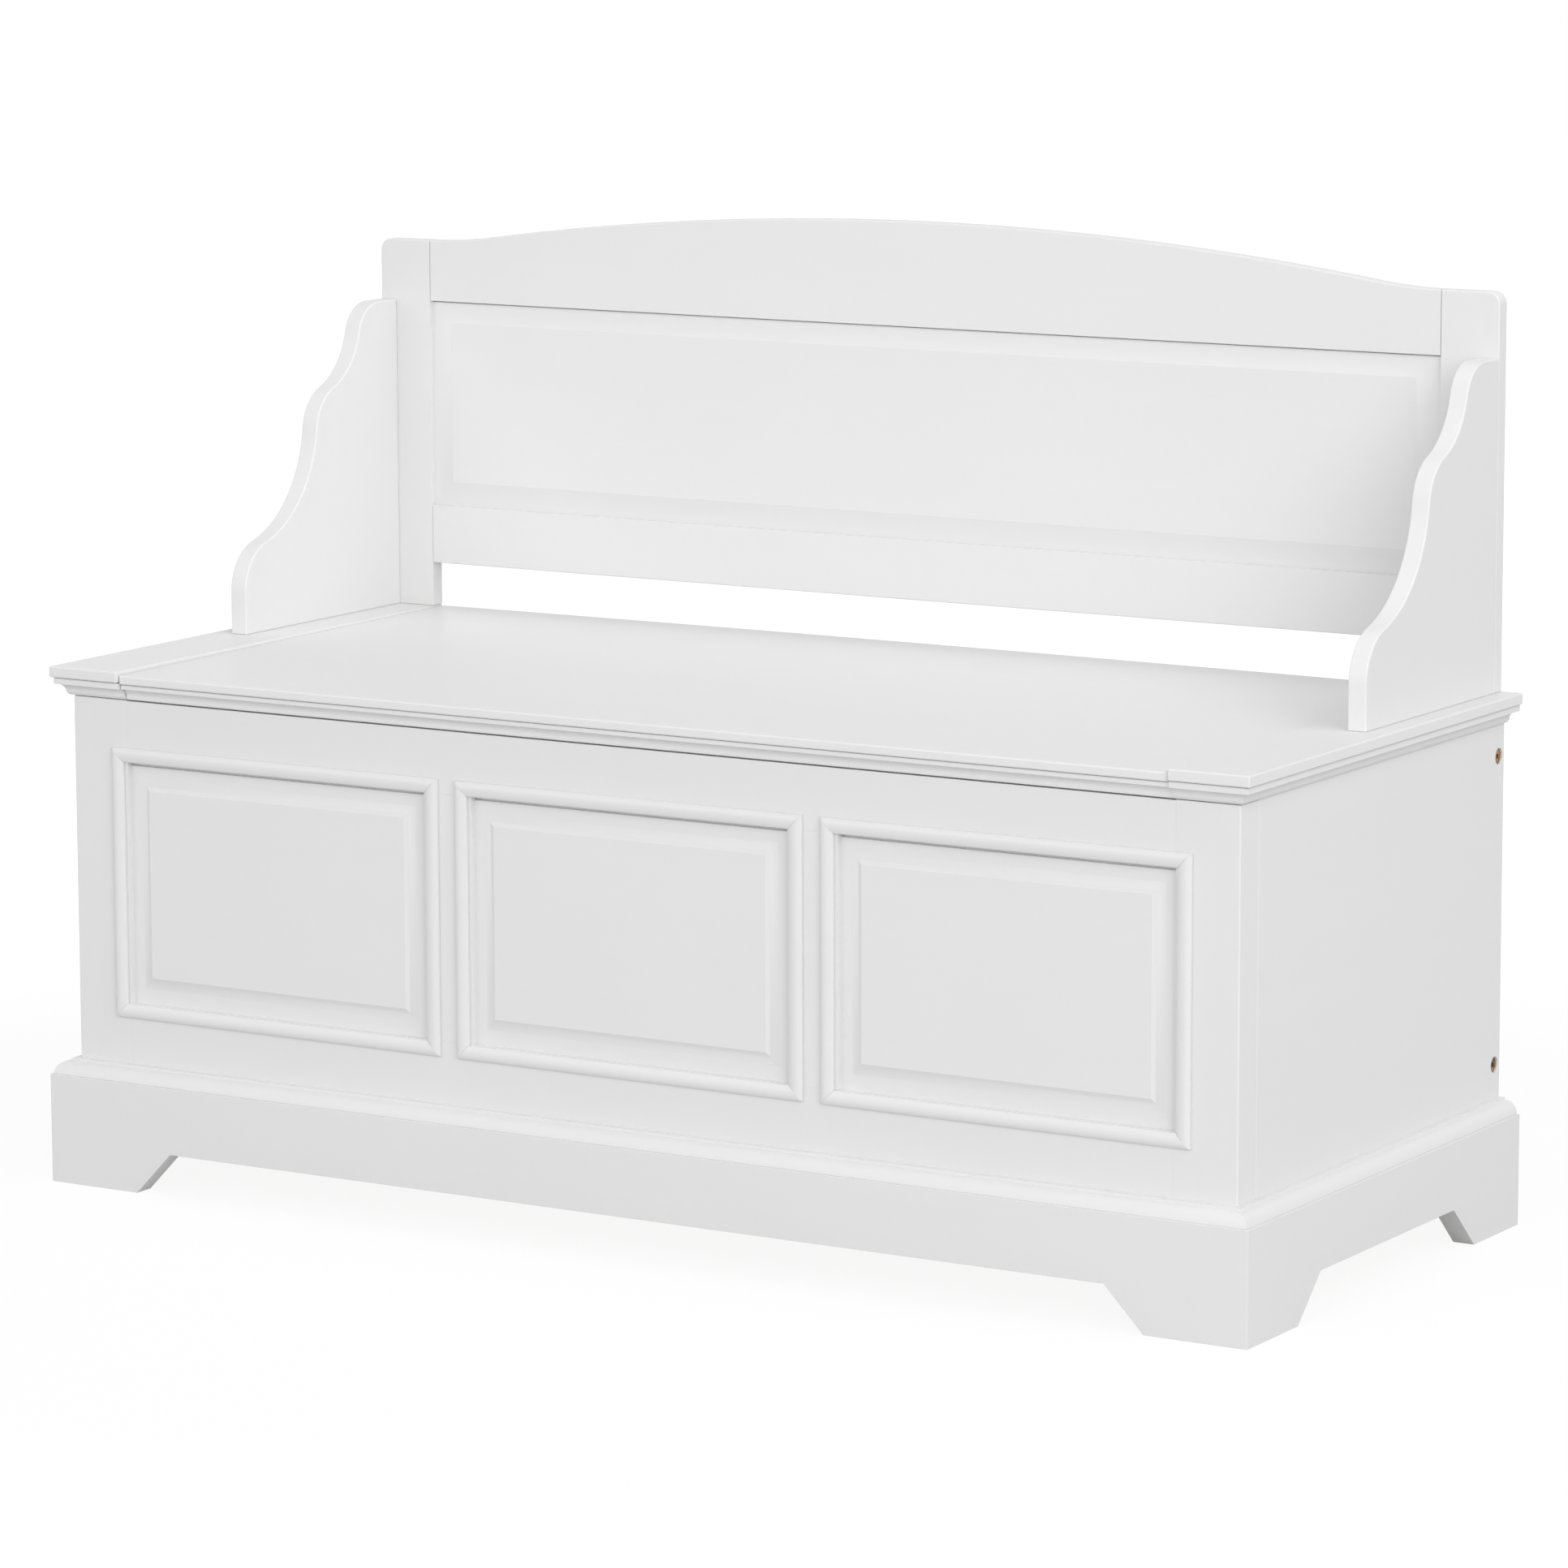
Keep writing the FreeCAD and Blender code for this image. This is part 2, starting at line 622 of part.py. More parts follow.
def arm_outline():
    """An arm's outline: an upright front, a run of hollows and rounds, and a flat top against the post."""
    points = [(0.0, 0.0)]
    steps = []
    heading = 0.0
    for radius, end_degrees in zip(arm_radii, arm_headings):
        end = math.radians(end_degrees)
        turn = 1 if end > heading else -1
        middle = (heading + end) / 2
        start = points[-1]

        def at(angle):
            return (start[0] + turn * radius * (math.cos(heading) - math.cos(angle)),
                    start[1] + turn * radius * (math.sin(angle) - math.sin(heading)))

        steps.append((at(middle), at(end)))
        points.append(at(end))
        heading = end
    run, rise = points[-1]
    front = post_front - arm_top_length - run
    foot_top = seat_height + arm_foot_height

    def moved(point):
        return (front + point[0], foot_top + point[1])

    outline = [(front, seat_height), (front, foot_top)]
    outline += [(moved(middle), moved(end)) for middle, end in steps]
    return outline + [(post_front, foot_top + rise), (post_front, seat_height)]


def make_backrest(seat_dowel_holes):
    """The posts, crest rail, panel and lower rail of the backrest, and the two scrolled arms."""
    joints = []
    for z in (backrest_rail_bottom + thin_rail_dowel_inset, backrest_rail_top - thin_rail_dowel_inset,
              crest_bottom + thin_rail_dowel_inset, post_top - thin_rail_dowel_inset):
        joints += [dowel(Vector(side * post_inner, post_middle, z), ALONG_X, thin_dowel_radius)
                   for side in (-1, 1)]
    save("backrest_dowels", Part.makeCompound([pin for pin, hole in joints]))
    holes = [hole for pin, hole in joints]

    bolt_length = post_thickness - bolt_recess - bolt_head_height + arm_bolt_grip
    bolts, bolt_holes = [], []
    for height in (arm_low_bolt_height, arm_high_bolt_height):
        body, hole = bolt(Vector(arm_middle, post_rear, seat_height + height), -ALONG_Y, bolt_length)
        bolts += [body, mirrored(body)]
        bolt_holes.append(hole)
    save("arm_bolts", Part.makeCompound(bolts))

    face = post_front + panel_setback
    tongue_front = face + backrest_panel_rise
    groove = panel_groove(-post_inner, post_inner, backrest_rail_top, crest_bottom, tongue_front,
                          backrest_groove_depth, backrest_tongue_thickness)
    corner = (post_outer - post_corner_radius, post_top - post_corner_radius)
    post_outline = [(post_inner, seat_height), (post_outer, seat_height), (post_outer, corner[1]),
                    (on_circle(corner, post_corner_radius, 45), (corner[0], post_top)),
                    (post_inner, post_top)]

    def upright(x, z):
        return Vector(x, post_front, z)

    sweep = ALONG_Y * post_thickness
    post = prism(post_outline, upright, sweep).cut(groove)
    save_pair("back_post", drilled(post, holes + seat_dowel_holes + bolt_holes))
    save("crest_rail", drilled(prism(crest_outline(), upright, sweep).cut(groove), holes))
    rail = box(-post_inner, post_inner, post_front, post_rear, backrest_rail_bottom, backrest_rail_top)
    save("backrest_rail", drilled(rail.cut(groove), holes))
    save("backrest_panel", raised_panel(-post_inner, post_inner, backrest_rail_top, crest_bottom, face,
                                        backrest_groove_depth - tongue_end_gap, backrest_tongue_thickness,
                                        backrest_panel_rise, backrest_panel_side_margin,
                                        backrest_panel_margin, backrest_panel_bevel))
    arm = prism(arm_outline(), lambda y, z: Vector(arm_inner, y, z), ALONG_X * arm_thickness)
    save_pair("arm", drilled(arm, seat_dowel_holes + bolt_holes))


def hinge_mortises(low, high):
    """The shallow seats that the hinge leaves are let into."""
    half = hinge_length / 2 + leaf_fit
    return [box(x - half, x + half, leaf_front - leaf_fit, cap_rear, low, high) for x in hinge_places]


def hinge_screws(side):
    """The screws of the hinge leaves, and their holes: side is 1 for the lid and -1 for the chest."""
    surface = hinge_z + side * leaf_gap / 2
    screws = [screw(Vector(x + place, back_middle, surface), ALONG_Z * side)
              for x in hinge_places for place in (-screw_spread, 0, screw_spread)]
    return [body for body, hole in screws], [hole for body, hole in screws]


def hinge_leaf(x, side, holes):
    """One leaf of a butt hinge: a plate and every other knuckle. The chest's leaf has the outer knuckles."""
    low = hinge_z + leaf_gap / 2 if side > 0 else hinge_z - leaf_gap / 2 - leaf_thickness
    start = x - hinge_length / 2
    plate_rear = hinge_y - knuckle_radius - knuckle_clearance
    leaf = box(start, start + hinge_length, leaf_front, plate_rear, low, low + leaf_thickness)
    step = hinge_length / knuckle_count
    for index in range(1 if side > 0 else 0, knuckle_count, 2):
        first = start + index * step + knuckle_end_gap / 2
        long = step - knuckle_end_gap
        leaf = leaf.fuse(rod(Vector(first, hinge_y, hinge_z), ALONG_X, knuckle_radius, long))
        leaf = leaf.fuse(box(first, first + long, plate_rear, hinge_y, low, low + leaf_thickness))
    bore = rod(Vector(start, hinge_y, hinge_z), ALONG_X, hinge_pin_radius + pin_clearance, hinge_length)
    return drilled(leaf, [bore] + holes).removeSplitter()


def make_hinges():
    """Three butt hinges between the lid and the back of the chest, with their pins and screws."""
    pins = []
    for side, name in ((-1, "frame"), (1, "lid")):
        bodies, holes = hinge_screws(side)
        save("hinge_" + name + "_screws", Part.makeCompound(bodies))
        for x, place in zip(hinge_places, ("left", "centre", "right")):
            save("hinge_" + place + "_" + name + "_leaf", hinge_leaf(x, side, holes))
    for x in hinge_places:
        start = x - hinge_length / 2
        pin = rod(Vector(start, hinge_y, hinge_z), ALONG_X, hinge_pin_radius, hinge_length)
        for end in (start - hinge_pin_head, start + hinge_length):
            pin = pin.fuse(rod(Vector(end, hinge_y, hinge_z), ALONG_X, hinge_pin_head_radius, hinge_pin_head))
        pins.append(pin)
    save("hinge_pins", Part.makeCompound(pins))


def make_lid():
    """The lid board, with the length of cornice that is fixed below its front edge."""
    edge = stepped_edge(lid_front, lid_front + cap_step_inset)
    outline = [(lid_front, lid_top)] + edge + [(cap_rear, cap_underside), (cap_rear, lid_top)]
    board = prism(outline, lambda y, z: Vector(-lid_half, y, z), ALONG_X * 2 * lid_half)
    mortises = hinge_mortises(cap_underside, cap_underside + leaf_thickness + leaf_fit)
    board = board.cut(Part.makeCompound(mortises))
    save("lid_board", drilled(board, hinge_screws(1)[1] + bracket_screws()[1]))
    face = body_front - cornice_running_gap
    section = cornice_section(face - lid_front - cornice_inset, cornice_foot)
    save("lid_moulding", prism(section, lambda d, z: Vector(-lid_half, face - d, z), ALONG_X * 2 * lid_half))

    height = lid_rest_gap - bumper_gap
    place = lid_half - bumper_end_distance
    bumpers = [rod(Vector(side * place, frame_middle, frame_top), ALONG_Z, bumper_radius, height)
               for side in (-1, 1)]
    save("lid_bumpers", Part.makeCompound(bumpers))


def bracket_screws():
    """The screws of the stay brackets, and their holes in the lid."""
    surface = cap_underside - leaf_thickness
    middle = bracket_outer - bracket_thickness / 2 - bracket_width / 2
    screws = [screw(Vector(side * middle, stay_pin_y + place * bracket_screw_spread, surface), ALONG_Z)
              for side in (-1, 1) for place in (-1, 1)]
    return [body for body, hole in screws], [hole for body, hole in screws]


def make_stays():
    """A slotted stay at each end of the lid: a bar that swings on the lid and slides over a fixed stud.

    The bar's pin and the stud are equally far from the hinge, so the bar turns half as far as the lid.
    """
    def on_bar(along, across):
        run = Vector(0, stud_y - stay_pin_y, stud_z - stay_pin_z)
        run.normalize()
        return Vector(stay_inner, stay_pin_y, stay_pin_z) + run * along + run.cross(ALONG_X) * across

    def slot(first, last, half):
        return [(first, -half), (last, -half), ((last + half, 0), (last, half)), (first, half),
                ((first - half, 0), (first, -half))]

    closed = 2 * stay_radius * math.sin(math.radians(stay_angle) / 2)
    opened = 2 * stay_radius * math.sin(math.radians(stay_angle + stay_open_angle) / 2)
    sweep = ALONG_X * stay_bar_thickness
    slot_half = stud_radius + stay_slot_clearance
    slot_end = opened + stay_end_room
    bar = prism(slot(0, slot_end + stay_tail, stay_bar_width / 2), on_bar, sweep)
    bar = bar.cut(prism(slot(closed - stay_end_room, slot_end, slot_half), on_bar, sweep))
    pin_line = Vector(0, stay_pin_y, stay_pin_z)
    pin_hole = rod(pin_line + ALONG_X * (bracket_outer - bracket_thickness), ALONG_X,
                   stay_pin_radius + pin_clearance, stay_outer - bracket_outer + bracket_thickness)
    save_pair("stay_bar", bar.cut(pin_hole))

    ear_low = stay_pin_z - bracket_ear / 2
    bracket = box(bracket_outer - bracket_width, bracket_outer, stay_pin_y - bracket_length / 2,
                  stay_pin_y + bracket_length / 2, cap_underside - leaf_thickness, cap_underside)
    ear = box(bracket_outer - bracket_thickness, bracket_outer, stay_pin_y - bracket_ear / 2,
              stay_pin_y + bracket_ear / 2, ear_low, cap_underside)
    bodies, holes = bracket_screws()
    bracket = drilled(bracket.fuse(ear), holes + [pin_hole])
    save("stay_brackets", Part.makeCompound([bracket, mirrored(bracket)]))
    save("stay_bracket_screws", Part.makeCompound(bodies))

    pin_start = bracket_outer - bracket_thickness
    pin = rod(pin_line + ALONG_X * pin_start, ALONG_X, stay_pin_radius, stay_outer + stay_gap - pin_start)
    pin = pin.fuse(rod(pin_line + ALONG_X * (pin_start - stay_pin_head_height), ALONG_X, stay_pin_head_radius,
                       stay_pin_head_height))
    pin = pin.fuse(rod(pin_line + ALONG_X * (stay_outer + stay_gap), ALONG_X, stay_pin_head_radius,
                       stay_pin_head_height))
    save("stay_pins", Part.makeCompound([pin, mirrored(pin)]))

    stud_line = Vector(0, stud_y, stud_z)
    head_start = stay_inner - stay_gap - stud_head_height
    stud = rod(stud_line + ALONG_X * head_start, ALONG_X, stud_head_radius, stud_head_height)
    stud = stud.fuse(rod(stud_line + ALONG_X * head_start, ALONG_X, stud_radius,
                         cap_inner + stud_depth - head_start))
    stud = stud.fuse(rod(stud_line + ALONG_X * (stay_outer + stay_gap), ALONG_X, stud_collar_radius,
                         cap_inner - stay_outer - stay_gap))
    save("stay_studs", Part.makeCompound([stud, mirrored(stud)]))


os.makedirs("parts", exist_ok=True)
make_plinth()
make_chest(make_front())
make_backrest(make_caps())
make_hinges()
make_lid()
make_stays()
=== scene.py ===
"""Looks of the storage bench: painted boards, mouldings and fittings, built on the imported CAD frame."""

import functools
import logging
import math
from collections.abc import Callable, Iterable
from dataclasses import dataclass
from enum import Enum

import bmesh
import bpy
from mathutils import Matrix, Vector


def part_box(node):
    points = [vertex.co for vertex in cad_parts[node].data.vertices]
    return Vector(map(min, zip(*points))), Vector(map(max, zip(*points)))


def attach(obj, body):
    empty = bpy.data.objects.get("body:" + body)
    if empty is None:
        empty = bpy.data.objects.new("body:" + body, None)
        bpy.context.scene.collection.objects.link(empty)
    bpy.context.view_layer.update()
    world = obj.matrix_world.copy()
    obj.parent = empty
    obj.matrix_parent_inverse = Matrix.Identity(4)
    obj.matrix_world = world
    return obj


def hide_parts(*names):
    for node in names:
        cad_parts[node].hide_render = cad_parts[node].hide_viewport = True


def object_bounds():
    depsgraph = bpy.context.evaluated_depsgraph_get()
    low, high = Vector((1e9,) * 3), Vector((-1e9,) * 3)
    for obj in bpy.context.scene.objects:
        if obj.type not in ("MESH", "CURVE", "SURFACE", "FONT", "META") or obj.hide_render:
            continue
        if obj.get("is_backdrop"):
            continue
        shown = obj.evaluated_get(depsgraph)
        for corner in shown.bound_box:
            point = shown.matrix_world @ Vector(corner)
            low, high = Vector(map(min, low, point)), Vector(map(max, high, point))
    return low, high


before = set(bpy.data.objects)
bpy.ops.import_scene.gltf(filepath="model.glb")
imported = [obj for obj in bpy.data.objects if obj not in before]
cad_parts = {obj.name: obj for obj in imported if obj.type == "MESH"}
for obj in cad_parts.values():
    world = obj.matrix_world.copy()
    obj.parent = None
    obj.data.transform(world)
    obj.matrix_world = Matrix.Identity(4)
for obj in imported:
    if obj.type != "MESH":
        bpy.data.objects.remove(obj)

log = logging.getLogger("bench")

MM = 0.001
TOUCH = 1e-5
SAME_PLANE = 1e-4
ALIGNED = 0.999
UP = Vector((0.0, 0.0, 1.0))
WHITE = (1.0, 1.0, 1.0, 1.0)
CARCASS = "carcass"
LID = "lid"
HINGES = ("left", "centre", "right")
HINGE_SLACK = 0.1 * MM
HINGE_SEAT_DEPTH = 1.6 * MM
BOLT_HEAD_RADIUS = 6.5 * MM
DOWEL_ARRIS = 0.3 * MM
WELD_DISTANCE = 0.002 * MM
QUARTER_MIDDLE = 135.0
RING_SHARE = 0.2
NORMAL_WEIGHT = 60

Point = tuple[float, float]
Colour = tuple[float, float, float]
EdgeTest = Callable[[bmesh.types.BMEdge], bool]


class Value:
    """A shader socket that takes part in Python arithmetic: each operation adds a Math node."""

    def __init__(self, graph: "Graph", socket: bpy.types.NodeSocket) -> None:
        """Keeps the socket and the graph that it belongs to."""
        self.graph = graph
        self.socket = socket

    def _maths(self, operation: str, first: "Value | float", second: "Value | float") -> "Value":
        """One Math node on two values."""
        return self.graph.node("ShaderNodeMath", {"operation": operation}, {0: first, 1: second})

    def __add__(self, other: "Value | float") -> "Value":
        """self + other"""
        return self._maths("ADD", self, other)

    def __radd__(self, other: float) -> "Value":
        """other + self"""
        return self._maths("ADD", other, self)

    def __sub__(self, other: "Value | float") -> "Value":
        """self - other"""
        return self._maths("SUBTRACT", self, other)

    def __mul__(self, other: "Value | float") -> "Value":
        """self * other"""
        return self._maths("MULTIPLY", self, other)

    def __rmul__(self, other: float) -> "Value":
        """other * self"""
        return self._maths("MULTIPLY", other, self)

    def __abs__(self) -> "Value":
        """abs(self)"""
        return self._maths("ABSOLUTE", self, 0.0)

    def at_least(self, limit: "Value | float") -> "Value":
        """The larger of this and a limit."""
        return self._maths("MAXIMUM", self, limit)


class Graph:
    """The node tree of one material, or of the world."""

    def __init__(self, tree: bpy.types.NodeTree) -> None:
        """Starts from an empty tree."""
        self.tree = tree
        tree.nodes.clear()

    def node(self, kind: str, settings: dict[str, object], sockets: dict[int | str, object],
             output: int | str = 0) -> Value:
        """Makes a node.

        Args:
            kind: Blender's name of the node type.
            settings: the node's own properties, set before its sockets.
            sockets: what each input takes: a Value to link, or a plain number, colour or vector.
            output: the output socket to hand back.

        Returns:
            The chosen output.
        """
        made = self.tree.nodes.new(kind)
        for name, setting in settings.items():
            setattr(made, name, setting)
        for name, value in sockets.items():
            if isinstance(value, Value):
                self.tree.links.new(value.socket, made.inputs[name])
            else:
                made.inputs[name].default_value = value
        return Value(self, made.outputs[output] if made.outputs else None)

    def coordinate(self, output: str = "Object") -> Value:
        """The piece's own coordinates, or its normal in them."""
        return self.node("ShaderNodeTexCoord", {}, {}, output)

    def drawn_out(self, place: Value, scale: tuple[float, ...]) -> Value:
        """Coordinates with a scale of their own on each axis."""
        return self.node("ShaderNodeMapping", {}, {"Vector": place, "Scale": scale})

    def noise(self, place: Value, scale: float, detail: float = 2.0, roughness: float = 0.5) -> Value:
        """Soft noise about 0.5."""
        return self.node("ShaderNodeTexNoise", {},
                         {"Vector": place, "Scale": scale, "Detail": detail, "Roughness": roughness})

    def ramp(self, value: Value, low: float, high: float) -> Value:
        """A smooth step from 0 at low to 1 at high."""
        return self.node("ShaderNodeMapRange", {"interpolation_type": "SMOOTHSTEP"},
                         {"Value": value, "From Min": low, "From Max": high})

    def blend(self, factor: Value, first: Colour | Value, second: Colour | Value) -> Value:
        """A colour between two."""
        ends = [end if isinstance(end, Value) else (*end, 1.0) for end in (first, second)]
        return self.node("ShaderNodeMix", {"data_type": "RGBA"}, {0: factor, 6: ends[0], 7: ends[1]}, 2)

    def bump(self, height: Value) -> Value:
        """A bumped normal from a height in metres."""
        return self.node("ShaderNodeBump", {}, {"Strength": 1.0, "Distance": 1.0, "Height": height})

    def surface(self, kind: str, sockets: dict[int | str, object]) -> Value:
        """A shader node."""
        return self.node(kind, {}, sockets)

    def output(self, shader: Value, kind: str = "ShaderNodeOutputMaterial") -> None:
        """Sends a shader to the tree's output."""
        self.node(kind, {}, {"Surface": shader})


def new_material(name: str) -> tuple[bpy.types.Material, Graph]:
    """An empty material and its graph."""
    material = bpy.data.materials.new(name)
    material.use_nodes = True
    return material, Graph(material.node_tree)


class Grain(Enum):
    """The way a board's fibres run."""

    ALONG_X = 0
    ALONG_Y = 1
    ALONG_Z = 2

    def scales(self, along: float, across: float) -> tuple[float, ...]:
        """Texture scales that draw a pattern out along the fibres."""
        return tuple(along if axis == self.value else across for axis in range(3))

    def end_mask(self, graph: Graph) -> Value:
        """1 on end grain, 0 on the faces that run with the fibres."""
        normal = graph.node("ShaderNodeSeparateXYZ", {}, {0: graph.coordinate("Normal")}, self.value)
        return graph.ramp(abs(normal), 0.6, 0.9)


@dataclass(frozen=True)
class WhitePaint:
    """Satin white lacquer: an even sprayed film, with fibres and open end grain just showing through."""

    grain: Grain
    light: Colour = (0.800, 0.801, 0.799)
    shade: Colour = (0.788, 0.789, 0.788)
    roughness: float = 0.36
    shine: float = 0.3
    fibre_height: float = 0.010 * MM
    peel_height: float = 0.006 * MM
    pore_depth: float = 0.012 * MM
    fibre_scales: Point = (7.0, 190.0)
    streak_scales: Point = (1.6, 34.0)
    peel_scale: float = 480.0
    film_scale: float = 6.0
    pore_scale: float = 1300.0

    @functools.cache
    def material(self) -> bpy.types.Material:
        """Builds the finish once for each way of the grain."""
        material, graph = new_material("white_paint_" + self.grain.name.lower())
        place = graph.coordinate()
        fibres = graph.noise(graph.drawn_out(place, self.grain.scales(*self.fibre_scales)), 1.0, 4.0, 0.62)
        streaks = graph.noise(graph.drawn_out(place, self.grain.scales(*self.streak_scales)), 1.0, 2.0)
        peel = graph.noise(place, self.peel_scale, 1.0)
        film = graph.noise(place, self.film_scale, 3.0)
        pores = graph.ramp(graph.noise(place, self.pore_scale, 2.0), 0.50, 0.72) * self.grain.end_mask(graph)
        tone = 0.45 * film + 0.30 * streaks + 0.25 * fibres - 0.5 * pores
        roughness = self.roughness + 0.14 * (film - 0.5) + 0.10 * (peel - 0.5) + 0.18 * pores
        height = self.fibre_height * fibres + self.peel_height * peel - self.pore_depth * pores
        graph.output(graph.surface("ShaderNodeBsdfPrincipled", {
            "Base Color": graph.blend(graph.ramp(tone, 0.25, 0.75), self.shade, self.light),
            "Roughness": roughness, "Normal": graph.bump(height), "Specular IOR Level": self.shine}))
        return material


@dataclass(frozen=True)
class BareBoard:
    """Planed softwood without paint: growth rings drawn out along the board, and fine dark pores."""

    grain: Grain
    name: str = "bare_board"
    early: Colour = (0.650, 0.495, 0.315)
    late: Colour = (0.470, 0.320, 0.180)
    ring_scale: float = 8.0
    ring_wander: float = 11.0
    ring_scales: Point = (0.35, 4.0)
    fibre_scales: Point = (12.0, 420.0)
    fibre_height: float = 0.02 * MM
    pore_depth: float = 0.03 * MM
    roughness: float = 0.55

    @functools.cache
    def material(self) -> bpy.types.Material:
        """Builds the finish once for each way of the grain."""
        material, graph = new_material(f"{self.name}_{self.grain.name.lower()}")
        place = graph.coordinate()
        board = graph.drawn_out(place, self.grain.scales(*self.ring_scales))
        rings = graph.node("ShaderNodeTexWave",
                           {"wave_type": "RINGS", "rings_direction": "XYZ"[self.grain.value]},
                           {"Vector": board, "Scale": self.ring_scale, "Distortion": self.ring_wander,
                            "Detail": 3.0, "Detail Scale": 0.9})
        fibres = graph.noise(graph.drawn_out(place, self.grain.scales(*self.fibre_scales)), 1.0, 4.0, 0.6)
        pores = graph.ramp(fibres, 0.58, 0.72)
        tone = 0.34 * rings + 0.40 * fibres + 0.35 * pores
        graph.output(graph.surface("ShaderNodeBsdfPrincipled", {
            "Base Color": graph.blend(graph.ramp(tone, 0.1, 1.0), self.early, self.late),
            "Roughness": self.roughness + 0.15 * fibres,
            "Normal": graph.bump(self.fibre_height * fibres - self.pore_depth * pores)}))
        return material


@dataclass(frozen=True)
class PlatedSteel:
    """Plated steel: a bright metal with drawn lines, cloudy plating and a darker tarnish."""

    name: str
    bright: Colour
    tarnish: Colour
    roughness: float
    tarnish_start: float
    tarnish_spread: float = 0.3
    line_scales: tuple[float, float, float] = (900.0, 900.0, 60.0)
    line_height: float = 0.004 * MM
    cloud_scale: float = 130.0

    @functools.cache
    def material(self) -> bpy.types.Material:
        """Builds the finish once."""
        material, graph = new_material(self.name)
        place = graph.coordinate()
        lines = graph.noise(graph.drawn_out(place, self.line_scales), 1.0, 3.0)
        clouds = graph.noise(place, self.cloud_scale, 4.0, 0.6)
        tarnish = graph.ramp(clouds, self.tarnish_start, self.tarnish_start + self.tarnish_spread)
        graph.output(graph.surface("ShaderNodeBsdfPrincipled", {
            "Base Color": graph.blend(tarnish, self.bright, self.tarnish),
            "Metallic": 1.0, "Roughness": self.roughness + 0.20 * tarnish + 0.16 * (lines - 0.5),
            "Normal": graph.bump(self.line_height * lines)}))
        return material


@dataclass(frozen=True)
class PaleRubber:
    """Pale moulded rubber with a dusty bloom."""

    colour: Colour = (0.56, 0.55, 0.52)
    bloom: Colour = (0.66, 0.65, 0.63)
    dust_scale: float = 300.0
    skin_scale: float = 1800.0
    skin_height: float = 0.01 * MM
    roughness: float = 0.65

    @functools.cache
    def material(self) -> bpy.types.Material:
        """Builds the finish once."""
        material, graph = new_material("pale_rubber")
        place = graph.coordinate()
        dust = graph.noise(place, self.dust_scale, 3.0)
        skin = graph.noise(place, self.skin_scale, 1.0)
        graph.output(graph.surface("ShaderNodeBsdfPrincipled", {
            "Base Color": graph.blend(dust, self.colour, self.bloom),
            "Roughness": self.roughness + 0.2 * (dust - 0.5),
            "Normal": graph.bump(self.skin_height * skin)}))
        return material


BRONZE = PlatedSteel("bronzed_steel", (0.34, 0.20, 0.09), (0.05, 0.03, 0.018), 0.26, 0.42)
ZINC = PlatedSteel("zinc_steel", (0.66, 0.67, 0.68), (0.42, 0.42, 0.40), 0.30, 0.52)
BEECH = BareBoard(Grain.ALONG_X, "beech", (0.62, 0.42, 0.25), (0.50, 0.31, 0.17), 40.0)

Finish = WhitePaint | BareBoard | PlatedSteel | PaleRubber


class Sweep(Enum):
    """The axis an outline is swept along. Its flat coordinates are the other two axes, in order."""

    ALONG_X = 0
    ALONG_Y = 1
    ALONG_Z = 2

    def place(self, first: float, second: float, level: float) -> Vector:
        """A flat point in the bench's frame."""
        numbers = [first, second]
        numbers.insert(self.value, level)
        return Vector(numbers)

    @property
    def turn_axis(self) -> Vector:
        """The axis that turns the first flat direction towards the second."""
        return self.place(1.0, 0.0, 0.0).cross(self.place(0.0, 1.0, 0.0))


def bowed(start: Point, end: Point, sag: float) -> Point:
    """The middle of an arc that bows to the left of the line from start to end.

    Args:
        start: the arc's first point.
        end: its last point.
        sag: how far it bows; below zero it bows to the right.

    Returns:
        The point halfway along the arc.
    """
    run = Vector(end) - Vector(start)
    left = Vector((-run.y, run.x)).normalized() * sag
    return tuple((Vector(start) + Vector(end)) / 2 + left)


def on_circle(centre: Point, radius: float, degrees: float) -> Point:
    """A point on a circle, counted from the first axis."""
    angle = math.radians(degrees)
    return centre[0] + radius * math.cos(angle), centre[1] + radius * math.sin(angle)


def points_of(parts: Iterable[object]) -> list[bmesh.types.BMVert]:
    """The vertices among the parts that an operation hands back."""
    return [part for part in parts if isinstance(part, bmesh.types.BMVert)]


